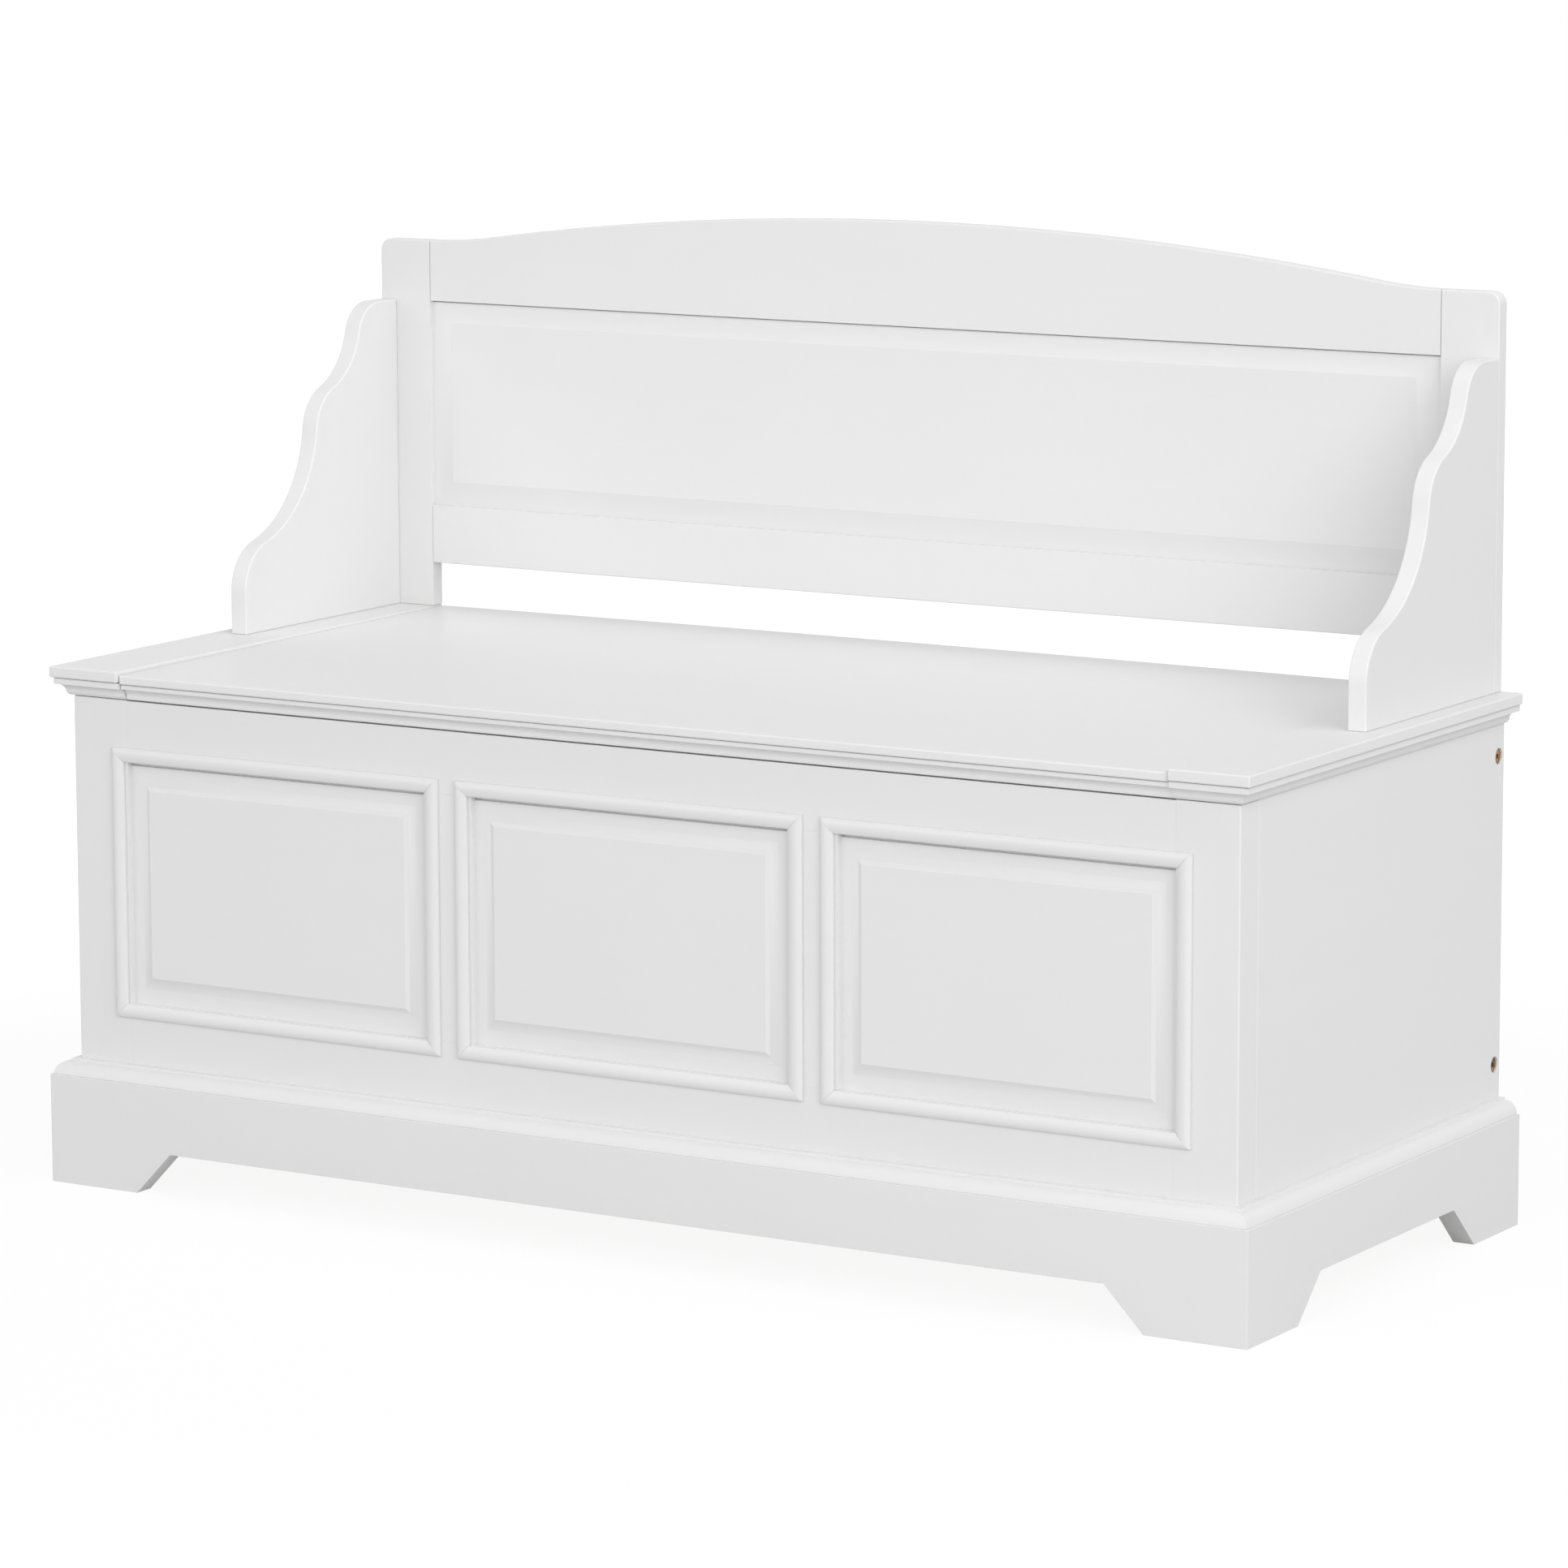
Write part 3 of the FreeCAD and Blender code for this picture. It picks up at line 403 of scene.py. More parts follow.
class Outline:
    """A flat outline of straight runs and arcs, drawn on a plane and swept into a solid."""

    def __init__(self, sweep: Sweep, level: float, start: Point) -> None:
        """Puts the pen down at a flat point on the plane at that level."""
        self.mesh = bmesh.new()
        self.sweep = sweep
        self.level = level
        self.here = start
        self.first = self.tip = bmesh.ops.create_vert(self.mesh, co=sweep.place(*start, level))["vert"][0]

    def line(self, *points: Point) -> "Outline":
        """Straight runs through the given points."""
        for point in points:
            self.tip = bmesh.ops.extrude_vert_indiv(self.mesh, verts=[self.tip])["verts"][0]
            self.tip.co = self.sweep.place(*point, self.level)
            self.here = point
        return self

    def arc(self, middle: Point, end: Point, steps: int = 8) -> "Outline":
        """An arc through a middle point to an end point, spun about its centre.

        Args:
            middle: any point on the arc between its ends.
            end: the arc's last point.
            steps: how many straight edges stand for it.

        Returns:
            The outline itself.
        """
        a, b, c = Vector(self.here), Vector(middle), Vector(end)
        chord, knee = c - a, b - a
        cross = 2.0 * (knee.x * chord.y - knee.y * chord.x)
        centre = a + Vector((chord.y * knee.length_squared - knee.y * chord.length_squared,
                             knee.x * chord.length_squared - chord.x * knee.length_squared)) / cross
        first, last = a - centre, c - centre
        angle = math.atan2(first.x * last.y - first.y * last.x, first.dot(last))
        if angle * cross < 0.0:
            angle -= math.copysign(2.0 * math.pi, angle)
        made = bmesh.ops.spin(self.mesh, geom=[self.tip], cent=self.sweep.place(*centre, self.level),
                              axis=self.sweep.turn_axis, angle=angle, steps=steps, use_merge=False)
        self.tip = points_of(made["geom_last"])[0]
        self.tip.co = self.sweep.place(*end, self.level)
        self.here = end
        return self

    def solid(self, distance: float) -> "Solid":
        """Closes the outline and sweeps it."""
        bmesh.ops.contextual_create(self.mesh, geom=[self.first, self.tip])
        face = bmesh.ops.contextual_create(self.mesh, geom=self.mesh.edges[:])["faces"]
        made = bmesh.ops.extrude_face_region(self.mesh, geom=face)["geom"]
        bmesh.ops.translate(self.mesh, vec=self.sweep.place(0.0, 0.0, distance), verts=points_of(made))
        bmesh.ops.recalc_face_normals(self.mesh, faces=self.mesh.faces[:])
        return Solid(self.mesh)


def lies_at(axis: int, *levels: float) -> EdgeTest:
    """A test for edges that lie in one of some planes across an axis."""
    def test(edge: bmesh.types.BMEdge) -> bool:
        """Whether both ends are in one of the planes."""
        return any(all(abs(vert.co[axis] - level) < TOUCH for vert in edge.verts) for level in levels)
    return test


def along(axis: int) -> EdgeTest:
    """A test for edges that run along an axis."""
    def test(edge: bmesh.types.BMEdge) -> bool:
        """Whether the edge runs that way."""
        run = (edge.verts[1].co - edge.verts[0].co).normalized()
        return abs(run[axis]) > ALIGNED
    return test


class Solid:
    """A closed mesh in the making."""

    SHARP = math.radians(34.0)

    def __init__(self, mesh: bmesh.types.BMesh) -> None:
        """Keeps the mesh that is being shaped."""
        self.mesh = mesh

    @classmethod
    def block(cls, low: Iterable[float], high: Iterable[float]) -> "Solid":
        """A squared block between two opposite corners."""
        low, high = Vector(low), Vector(high)
        mesh = bmesh.new()
        bmesh.ops.create_cube(mesh, size=1.0)
        bmesh.ops.scale(mesh, vec=high - low, verts=mesh.verts[:])
        bmesh.ops.translate(mesh, vec=(low + high) / 2, verts=mesh.verts[:])
        return cls(mesh)

    def round_edges(self, radius: float, *wanted: EdgeTest, segments: int = 5) -> "Solid":
        """Rounds the sharp edges that pass every test."""
        edges = [edge for edge in self.mesh.edges if edge.is_manifold
                 and edge.calc_face_angle() > self.SHARP and all(test(edge) for test in wanted)]
        bmesh.ops.bevel(self.mesh, geom=edges, offset=radius, offset_type="OFFSET", segments=segments,
                        profile=0.5, affect="EDGES", material=-1, clamp_overlap=True)
        return self

    def split(self, point: Iterable[float], normal: Iterable[float], clear: bool = False) -> None:
        """Divides every face that a plane crosses, and can clear what lies on the normal's side."""
        everything = self.mesh.verts[:] + self.mesh.edges[:] + self.mesh.faces[:]
        bmesh.ops.bisect_plane(self.mesh, geom=everything, dist=TOUCH, plane_co=Vector(point),
                               plane_no=Vector(normal).normalized(), clear_outer=clear)

    def cut(self, point: Iterable[float], normal: Iterable[float]) -> "Solid":
        """Takes off what lies on the normal's side of a plane, and closes the cut."""
        self.split(point, normal, clear=True)
        rim = [edge for edge in self.mesh.edges if edge.is_boundary]
        bmesh.ops.holes_fill(self.mesh, edges=rim, sides=0)
        bmesh.ops.recalc_face_normals(self.mesh, faces=self.mesh.faces[:])
        return self

    def faces_on(self, point: Vector, normal: Vector) -> list[bmesh.types.BMFace]:
        """The faces that look along a direction and lie in the plane through a point."""
        return [face for face in self.mesh.faces if face.normal.dot(normal) > ALIGNED
                and abs((face.calc_center_median() - point).dot(normal)) < SAME_PLANE]

    def face_at(self, centre: Vector, normal: Vector) -> bmesh.types.BMFace:
        """The face that looks along a direction and whose middle is nearest to a point."""
        return min(self.faces_on(centre, normal),
                   key=lambda face: (face.calc_center_median() - centre).length)

    def frame_face(self, centre: Vector, normal: Vector, half: Iterable[float]) -> bmesh.types.BMFace:
        """Marks out a rectangle on a flat face.

        Args:
            centre: the rectangle's middle, on the face.
            normal: the way the face looks, along an axis.
            half: half the rectangle's size along each axis; the one along the normal isn't used.

        Returns:
            The rectangle, as a face of its own.
        """
        for axis, reach in enumerate(half):
            if abs(normal[axis]) > 0.5:
                continue
            for side in (-1.0, 1.0):
                level = self.faces_on(centre, normal)
                geometry = set(level)
                for face in level:
                    geometry.update(face.edges, face.verts)
                across = Vector([1.0 if index == axis else 0.0 for index in range(3)])
                bmesh.ops.bisect_plane(self.mesh, geom=list(geometry), dist=TOUCH,
                                       plane_co=centre + across * side * reach, plane_no=across)
        return self.face_at(centre, normal)

    def push(self, face: bmesh.types.BMFace, shift: Vector) -> "Solid":
        """Extrudes one face by a shift."""
        moved = bmesh.ops.extrude_discrete_faces(self.mesh, faces=[face])["faces"]
        bmesh.ops.translate(self.mesh, vec=shift, verts=moved[0].verts)
        return self

    def bore(self, centre: Vector, normal: Vector, radius: float, depth: float, sides: int = 32) -> "Solid":
        """Sinks a round, flat-bottomed hole into a face.

        Args:
            centre: the middle of the hole's mouth.
            normal: the way the face looks.
            radius: the hole's radius.
            depth: how deep it goes.
            sides: how many straight edges its mouth has, a multiple of four.

        Returns:
            The solid itself.
        """
        face = self.frame_face(centre, normal, [2.0 * radius] * 3)
        shape_face(self.mesh, face, centre, radius, corners=4, sides=sides)
        return self.push(face, -normal * depth)

    def open_seat(self, low: Vector, high: Vector, upward: float) -> "Solid":
        """Cuts a shallow seat into a level face, open at the rear, as for a hinge leaf.

        Args:
            low: the seat's lowest corner.
            high: its highest corner; its rear lies on the solid's rear face.
            upward: 1 where the level face looks up, -1 where it looks down.

        Returns:
            The solid itself.
        """
        level, floor = (high.z, low.z) if upward > 0 else (low.z, high.z)
        middle, half = (low + high) / 2, (high - low) / 2
        rear_half = Vector((half.x, 0.0, half.z))
        top = self.frame_face(Vector((middle.x, middle.y, level)), Vector((0.0, 0.0, upward)), half)
        back = self.frame_face(Vector((middle.x, high.y, middle.z)), Vector((0.0, 1.0, 0.0)), rear_half)
        top = self.face_at(Vector((middle.x, middle.y, level)), Vector((0.0, 0.0, upward)))
        lip = next(edge for edge in top.edges if edge in back.edges)
        front = next(edge for edge in top.edges if lies_at(1, low.y)(edge))
        far = next(edge for edge in back.edges if lies_at(2, floor)(edge))
        bmesh.ops.delete(self.mesh, geom=[top, back, lip], context="FACES_KEEP_BOUNDARY")
        if lip.is_valid:
            self.mesh.edges.remove(lip)
        wall = bmesh.ops.extrude_edge_only(self.mesh, edges=[front])["geom"]
        fresh = points_of(wall)
        bmesh.ops.translate(self.mesh, vec=(0.0, 0.0, floor - level), verts=fresh)
        bmesh.ops.contextual_create(self.mesh, geom=fresh + list(far.verts))
        bmesh.ops.holes_fill(self.mesh, edges=[edge for edge in self.mesh.edges if edge.is_boundary], sides=0)
        bmesh.ops.recalc_face_normals(self.mesh, faces=self.mesh.faces[:])
        return self

    def add(self, other: "Solid") -> "Solid":
        """Takes another closed shell into this solid."""
        carrier = bpy.data.meshes.new("carrier")
        other.mesh.to_mesh(carrier)
        other.mesh.free()
        self.mesh.from_mesh(carrier)
        bpy.data.meshes.remove(carrier)
        return self

    def mirrored(self) -> "Solid":
        """The same piece on the other side of the bench."""
        bmesh.ops.scale(self.mesh, vec=(-1.0, 1.0, 1.0), verts=self.mesh.verts[:])
        bmesh.ops.reverse_faces(self.mesh, faces=self.mesh.faces[:])
        return self


def shape_face(mesh: bmesh.types.BMesh, face: bmesh.types.BMFace, centre: Vector, radius: float, corners: int,
               sides: int, flats: int = 0) -> None:
    """Turns a flat face into a ring round a regular shape, and the shape itself.

    Args:
        mesh: the mesh that the face is in.
        face: the face, which becomes the shape.
        centre: the shape's middle.
        radius: the shape's radius, or half its width across flats.
        corners: how many edges the face has now.
        sides: how many edges the shape gets.
        flats: 0 for a round shape, or the number of flat sides.
    """
    bmesh.ops.inset_region(mesh, faces=[face], thickness=radius * RING_SHARE, use_even_offset=True)
    if sides > corners:
        bmesh.ops.subdivide_edges(mesh, edges=face.edges[:], cuts=sides // corners - 1)
    first = face.calc_tangent_edge()
    second = face.normal.cross(first)
    for vert in face.verts:
        arm = vert.co - centre
        angle = math.atan2(arm.dot(second), arm.dot(first))
        reach = radius
        if flats:
            part = 2.0 * math.pi / flats
            reach = radius / math.cos((angle % part) - part / 2)
        vert.co = centre + (first * math.cos(angle) + second * math.sin(angle)) * reach


class Side(Enum):
    """The two ends of the bench."""

    LEFT = "left"
    RIGHT = "right"

    def turn(self, solid: Solid) -> Solid:
        """A piece made for the right end, on this end."""
        return solid.mirrored() if self is Side.LEFT else solid


@dataclass(frozen=True)
class Box:
    """The box of a CAD node at rest, in metres."""

    low: Vector
    high: Vector

    @classmethod
    def of(cls, node: str) -> "Box":
        """Reads a node's box from the frame."""
        return cls(*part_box(node))

    def raised(self, gap: float) -> "Box":
        """The box with its foot a little higher."""
        return Box(self.low + UP * gap, self.high)

    @property
    def middle(self) -> Vector:
        """The box's middle."""
        return (self.low + self.high) / 2


def bolt_levels(bolts: Box) -> tuple[float, float]:
    """The heights of the lower and the upper bolts of a set."""
    return bolts.low.z + BOLT_HEAD_RADIUS, bolts.high.z - BOLT_HEAD_RADIUS


def finish_edges(piece: bpy.types.Object, arris: float, segments: int = 3) -> None:
    """Softens the sharp edges that are left, and shades flat faces flat and rounds round."""
    if arris > 0.0:
        bevel = piece.modifiers.new("arris", "BEVEL")
        bevel.width = arris
        bevel.segments = segments
        bevel.limit_method = "ANGLE"
        bevel.angle_limit = Solid.SHARP
    normals = piece.modifiers.new("flat_faces", "WEIGHTED_NORMAL")
    normals.weight = NORMAL_WEIGHT
    normals.keep_sharp = False


def fit(solid: Solid, node: str, finish: Finish, arris: float, body: str = CARCASS,
        word: str = "painted") -> bpy.types.Object:
    """Makes a solid into a piece of the bench, in the place of a CAD node.

    Args:
        solid: the finished shape, in the bench's frame.
        node: the CAD node that it stands for.
        finish: what its surface is.
        arris: how far its remaining sharp edges are softened.
        body: the CAD body that it moves with.
        word: the first word of the piece's name.

    Returns:
        The piece.
    """
    mesh = bpy.data.meshes.new(f"{word}_{node}")
    open_edges = sum(not edge.is_manifold for edge in solid.mesh.edges)
    solid.mesh.to_mesh(mesh)
    solid.mesh.free()
    mesh.polygons.foreach_set("use_smooth", [True] * len(mesh.polygons))
    mesh.materials.append(finish.material())
    piece = bpy.data.objects.new(f"{word}_{node}", mesh)
    bpy.context.scene.collection.objects.link(piece)
    finish_edges(piece, arris)
    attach(piece, body)
    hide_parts(node)
    log.info("%s: %d faces, %d open edges", piece.name, len(mesh.polygons), open_edges)
    return piece


def paint(solid: Solid, node: str, grain: Grain, arris: float, body: str = CARCASS) -> bpy.types.Object:
    """Fits a solid as a white painted piece."""
    return fit(solid, node, WhitePaint(grain), arris, body)


def dress(node: str, finish: Finish, arris: float = 0.0) -> bpy.types.Object:
    """Gives a CAD node that stays in view a finish and soft edges.

    Args:
        node: the CAD node.
        finish: what its surface is.
        arris: how far its sharp edges are softened.

    Returns:
        The node's own object.
    """
    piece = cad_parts[node]
    weld = piece.modifiers.new("weld", "WELD")
    weld.merge_threshold = WELD_DISTANCE
    finish_edges(piece, arris, segments=2)
    piece.data.materials.clear()
    piece.data.materials.append(finish.material())
    log.info("%s: kept, with a finish", node)
    return piece


@dataclass
class Plinth:
    """The plinth: boards with bracket feet, mitred at the front, under a planted quarter round."""

    face_height: float = 98.0 * MM
    step: float = 2.5 * MM
    ovolo_radius: float = 11.5 * MM
    notch_height: float = 38.3 * MM
    front_foot: float = 94.5 * MM
    front_run: float = 37.0 * MM
    side_front_foot: float = 90.0 * MM
    side_rear_foot: float = 88.0 * MM
    side_run: float = 41.0 * MM
    corner_radius: float = 1.8 * MM
    arris: float = 0.8 * MM

    def top_moulding(self, sweep: Sweep, face: float, inward: float, top: float, start: float,
                     length: float) -> Solid:
        """The quarter round and bead along the top of a board.

        Args:
            sweep: the axis that the board runs along.
            face: where the board's face is across that axis.
            inward: 1 or -1, the way in from the face.
            top: the height of the bead.
            start: where the length starts.
            length: how long it is.

        Returns:
            The length, not mitred yet.
        """
        thickness = Box.of("plinth_front").high.y - Box.of("plinth_front").low.y
        centre = self.step + self.ovolo_radius
        low, shoulder = self.face_height, self.face_height + self.ovolo_radius
        bend = on_circle((centre, low), self.ovolo_radius, QUARTER_MIDDLE)

        def at(depth: float, height: float) -> Point:
            """A flat point, from its depth behind the face and its height."""
            return face + inward * depth, height

        return (Outline(sweep, start, at(self.step, low)).arc(at(*bend), at(centre, shoulder), steps=12)
                .line(at(centre, top), at(thickness, top), at(thickness, low)).solid(length))

    def build(self) -> None:
        """Makes the front board, the two side boards and the blocks behind the feet."""
        self.build_front()
        for side in Side:
            self.build_side(side)
        dress("foot_blocks", BareBoard(Grain.ALONG_Z), self.arris)

    def build_front(self) -> None:
        """The long board, with a mitre at each end."""
        box = Box.of("plinth_front")
        half, front, rear = box.high.x, box.low.y, box.high.y
        foot, shoulder = half - self.front_foot, half - self.front_foot - self.front_run
        board = (Outline(Sweep.ALONG_Y, front, (-half, 0.0))
                 .line((-half, self.face_height), (half, self.face_height), (half, 0.0), (foot, 0.0),
                       (shoulder, self.notch_height), (-shoulder, self.notch_height), (-foot, 0.0))
                 .solid(rear - front))
        board.round_edges(self.corner_radius, along(2), lies_at(0, -half, half), lies_at(1, front),
                          segments=6)
        board.add(self.top_moulding(Sweep.ALONG_X, front, 1.0, box.high.z, -half, 2.0 * half))
        board.cut((half, front, 0.0), (1.0, 1.0, 0.0)).cut((-half, front, 0.0), (-1.0, 1.0, 0.0))
        paint(board, "plinth_front", Grain.ALONG_X, self.arris)

    def build_side(self, side: Side) -> None:
        """A short board, with a mitre at its front end."""
        box = Box.of("plinth_right")
        face, inner, front, rear = box.high.x, box.low.x, box.low.y, box.high.y
        fore, aft = front + self.side_front_foot, rear - self.side_rear_foot
        board = (Outline(Sweep.ALONG_X, inner, (front, 0.0))
                 .line((front, self.face_height), (rear, self.face_height), (rear, 0.0), (aft, 0.0),
                       (aft - self.side_run, self.notch_height), (fore + self.side_run, self.notch_height),
                       (fore, 0.0))
                 .solid(face - inner))
        board.round_edges(self.corner_radius, along(2), lies_at(0, face), lies_at(1, front), segments=6)
        board.add(self.top_moulding(Sweep.ALONG_Y, face, -1.0, box.high.z, front, rear - front))
        board.cut((face, front, 0.0), (-1.0, -1.0, 0.0))
        paint(side.turn(board), "plinth_" + side.value, Grain.ALONG_Y, self.arris)


@dataclass
class RaisedPanel:
    """A fielded panel: a flat margin and a hollow bevel up to the field.

    The panel has sunk a little in its grooves, so a slit is open above its front.
    """

    node: str
    left: float
    right: float
    low: float
    high: float
    rise: float
    side_margin: float
    margin: float
    bevel: float
    slit: float
    slit_depth: float = 3.5 * MM
    sag: float = 0.5 * MM
    step: float = 0.15 * MM
    step_width: float = 0.3 * MM
    overlap: float = 1.0 * MM
    bevel_steps: int = 10
    arris: float = 0.35 * MM

    def build(self) -> None:
        """Insets the front face step by step, from the margin up to the field."""
        box = Box.of(self.node)
        edge = box.low.y + self.rise
        low = (self.left - self.overlap, edge, self.low - self.overlap)
        high = (self.right + self.overlap, box.high.y, self.high + self.overlap)
        panel = Solid.block(low, high)
        middle = Vector((low[0] + high[0], 2.0 * edge, low[2] + high[2])) / 2
        field = panel.face_at(middle, Vector((0.0, -1.0, 0.0)))
        self.inset(panel, field, self.overlap + self.margin, 0.0)
        for vert in field.verts:
            vert.co.x += (self.side_margin - self.margin) * math.copysign(1.0, middle.x - vert.co.x)
        climb = self.rise - self.step
        done = 0.0
        for index in range(1, self.bevel_steps + 1):
            part = index / self.bevel_steps
            height = climb * part - 4.0 * self.sag * part * (1.0 - part)
            self.inset(panel, field, self.bevel / self.bevel_steps, height - done)
            done = height
        self.inset(panel, field, self.step_width, self.step)
        top = self.high - self.slit
        panel.cut((0.0, 0.0, top), UP)
        half = (high[0] - low[0], (high[1] - edge - self.slit_depth) / 2, 0.0)
        tongue = panel.frame_face(Vector((middle.x, high[1] - half[1], top)), UP, half)
        panel.push(tongue, UP * (high[2] - top))
        paint(panel, self.node, Grain.ALONG_X, self.arris)

    def inset(self, panel: Solid, field: bmesh.types.BMFace, width: float, depth: float) -> None:
        """One step in towards the field, and forwards."""
        bmesh.ops.inset_region(panel.mesh, faces=[field], thickness=width, depth=depth, use_even_offset=True)


@dataclass
class PanelMoulding:
    """Four mitred lengths of rounded moulding, planted round an opening a little back from its edge."""

    node: str
    left: float
    right: float
    low: float
    high: float
    face: float
    width: float = 12.8 * MM
    side_reveal: float = 2.9 * MM
    level_reveal: float = 0.3 * MM
    edge: float = 2.4 * MM
    crown: float = 5.0 * MM
    crown_place: float = 5.5 * MM
    foot: float = 2.7 * MM
    rise_sag: float = 0.7 * MM
    fall_sag: float = 0.6 * MM
    arris: float = 0.5 * MM

    def length(self, sweep: Sweep, start: float, distance: float,
               place: Callable[[float, float], Point]) -> Solid:
        """One straight length.

        Args:
            sweep: the axis that it runs along.
            start: where it starts.
            distance: how long it is.
            place: turns the distance in from the outer edge, and the depth behind the face, into a flat
                point.

        Returns:
            The length, not mitred yet.
        """
        edge, crown, foot = (0.0, -self.edge), (self.crown_place, -self.crown), (self.width, -self.foot)
        rise, fall = bowed(edge, crown, -self.rise_sag), bowed(crown, foot, -self.fall_sag)
        return (Outline(sweep, start, place(0.0, 0.0)).line(place(*edge))
                .arc(place(*rise), place(*crown), steps=9).arc(place(*fall), place(*foot), steps=9)
                .line(place(self.width, 0.0)).solid(distance))

    def build(self) -> None:
        """Makes the four lengths and mitres them."""
        aside, above = self.side_reveal + self.width, self.level_reveal + self.width
        left, right = self.left - aside, self.right + aside
        low, high = self.low - above, self.high + above
        face = self.face
        bottom = self.length(Sweep.ALONG_X, left, right - left, lambda d, y: (face + y, low + d))
        top = self.length(Sweep.ALONG_X, left, right - left, lambda d, y: (face + y, high - d))
        start = self.length(Sweep.ALONG_Z, low, high - low, lambda d, y: (left + d, face + y))
        end = self.length(Sweep.ALONG_Z, low, high - low, lambda d, y: (right - d, face + y))
        bottom.cut((left, face, low), (-1, 0, 1)).cut((right, face, low), (1, 0, 1))
        top.cut((left, face, high), (-1, 0, -1)).cut((right, face, high), (1, 0, -1))
        start.cut((left, face, low), (1, 0, -1)).cut((left, face, high), (1, 0, 1))
        end.cut((right, face, low), (-1, 0, -1)).cut((right, face, high), (-1, 0, 1))
        paint(bottom.add(top).add(start).add(end), self.node, Grain.ALONG_X, self.arris)


@dataclass
class CorniceRebate:
    """The step back of the chest's faces behind the cornice, which leaves a dark line open below it."""

    line: float
    depth: float = 6.0 * MM
    stop: float = 10.0 * MM

    def board(self, box: Box, *faces: int) -> Solid:
        """A squared board whose top is set back.

        Args:
            box: the whole board.
            faces: the axes whose outer faces are set back: 0 for the right end, 1 for the front.

        Returns:
            The board.
        """
        level = Box.of("cap_moulding_right").low.z - self.line
        low, high = box.low.copy(), box.high.copy()
        low.z = level
        board = Solid.block(box.low, (box.high.x, box.high.y, level))
        if 0 in faces:
            high.x -= self.depth
        if 1 in faces:
            low.y += self.depth
        else:
            high.y -= self.stop
            board.add(Solid.block((box.low.x, high.y, level), box.high))
        return board.add(Solid.block(low, high))


@dataclass
class ChestFront:
    """The panelled front: stiles, rails and muntins round three fielded panels."""

    cap_line: float = 1.05 * MM
    lid_line: float = 1.6 * MM
    seam: float = 0.22 * MM
    foot_gap: float = 0.9 * MM
    corner_radius: float = 1.6 * MM
    rise: float = 4.5 * MM
    side_margin: float = 10.8 * MM
    margin: float = 13.2 * MM
    bevel: float = 11.0 * MM
    slit: float = 3.3 * MM

    def build(self) -> None:
        """Makes the frame, the panels and the mouldings."""
        for side in Side:
            box = Box.of("stile_right").raised(self.foot_gap)
            stile = CorniceRebate(self.cap_line).board(box, 0, 1)
            stile.round_edges(self.corner_radius, along(2), lies_at(0, box.high.x), lies_at(1, box.low.y))
            paint(side.turn(stile), "stile_" + side.value, Grain.ALONG_Z, self.seam)
            box = Box.of("muntin_" + side.value)
            paint(Solid.block(box.low, box.high), "muntin_" + side.value, Grain.ALONG_Z, self.seam)
        box = Box.of("front_bottom_rail").raised(self.foot_gap)
        paint(Solid.block(box.low, box.high), "front_bottom_rail", Grain.ALONG_X, self.seam)
        rail = CorniceRebate(self.lid_line).board(Box.of("front_top_rail"), 1)
        paint(rail, "front_top_rail", Grain.ALONG_X, self.seam)
        left, right = Box.of("muntin_left"), Box.of("muntin_right")
        stile = Box.of("stile_right")
        openings = {"left": (-stile.low.x, left.low.x), "centre": (left.high.x, right.low.x),
                    "right": (right.high.x, stile.low.x)}
        for name, (start, end) in openings.items():
            RaisedPanel("front_panel_" + name, start, end, left.low.z, left.high.z, self.rise,
                        self.side_margin, self.margin, self.bevel, self.slit).build()
            PanelMoulding("panel_moulding_" + name, start, end, left.low.z, left.high.z, stile.low.y).build()


@dataclass
class ChestBody:
    """The sides, back and floor of the chest, and the bolts that hold the back between the sides."""

    cap_line: float = 0.6 * MM
    edge_radius: float = 2.4 * MM
    seam: float = 0.5 * MM
    foot_gap: float = 0.7 * MM
    arris: float = 0.5 * MM
    bolt_recess: float = 7.1 * MM
    bolt_depth: float = 3.8 * MM
    nut_arris: float = 0.2 * MM

    def build(self) -> None:
        """Makes the boards, and dresses the cleats, the nuts and the dowels."""
        box = Box.of("side_panel_right")
        back = Box.of("chest_back")
        for side in Side:
            outline = Box(box.low + Vector((0.0, self.seam, self.foot_gap)), box.high)
            panel = CorniceRebate(self.cap_line).board(outline, 0)
            panel.round_edges(self.edge_radius, along(2), lies_at(0, box.high.x), lies_at(1, outline.low.y))
            for height in bolt_levels(Box.of("side_bolts")):
                panel.bore(Vector((box.high.x, back.middle.y, height)), Vector((1.0, 0.0, 0.0)),
                           self.bolt_recess, self.bolt_depth)
            paint(side.turn(panel), "side_panel_" + side.value, Grain.ALONG_Y, self.arris)
        board = Solid.block(back.low, back.high)
        for name in HINGES:
            leaf = Box.of(f"hinge_{name}_frame_leaf")
            low = Vector((leaf.low.x - HINGE_SLACK, leaf.low.y - HINGE_SLACK, back.high.z - HINGE_SEAT_DEPTH))
            board.open_seat(low, Vector((leaf.high.x + HINGE_SLACK, back.high.y, back.high.z)), upward=1.0)
        paint(board, "chest_back", Grain.ALONG_X, self.arris)
        floor = Box.of("chest_floor")
        fit(Solid.block(floor.low, floor.high), "chest_floor", BareBoard(Grain.ALONG_X),
            self.arris, word="bare")
        dress("floor_cleats", BareBoard(Grain.ALONG_X), self.arris)
        dress("barrel_nuts", ZINC, self.nut_arris)
        dress("frame_dowels", BEECH, DOWEL_ARRIS)


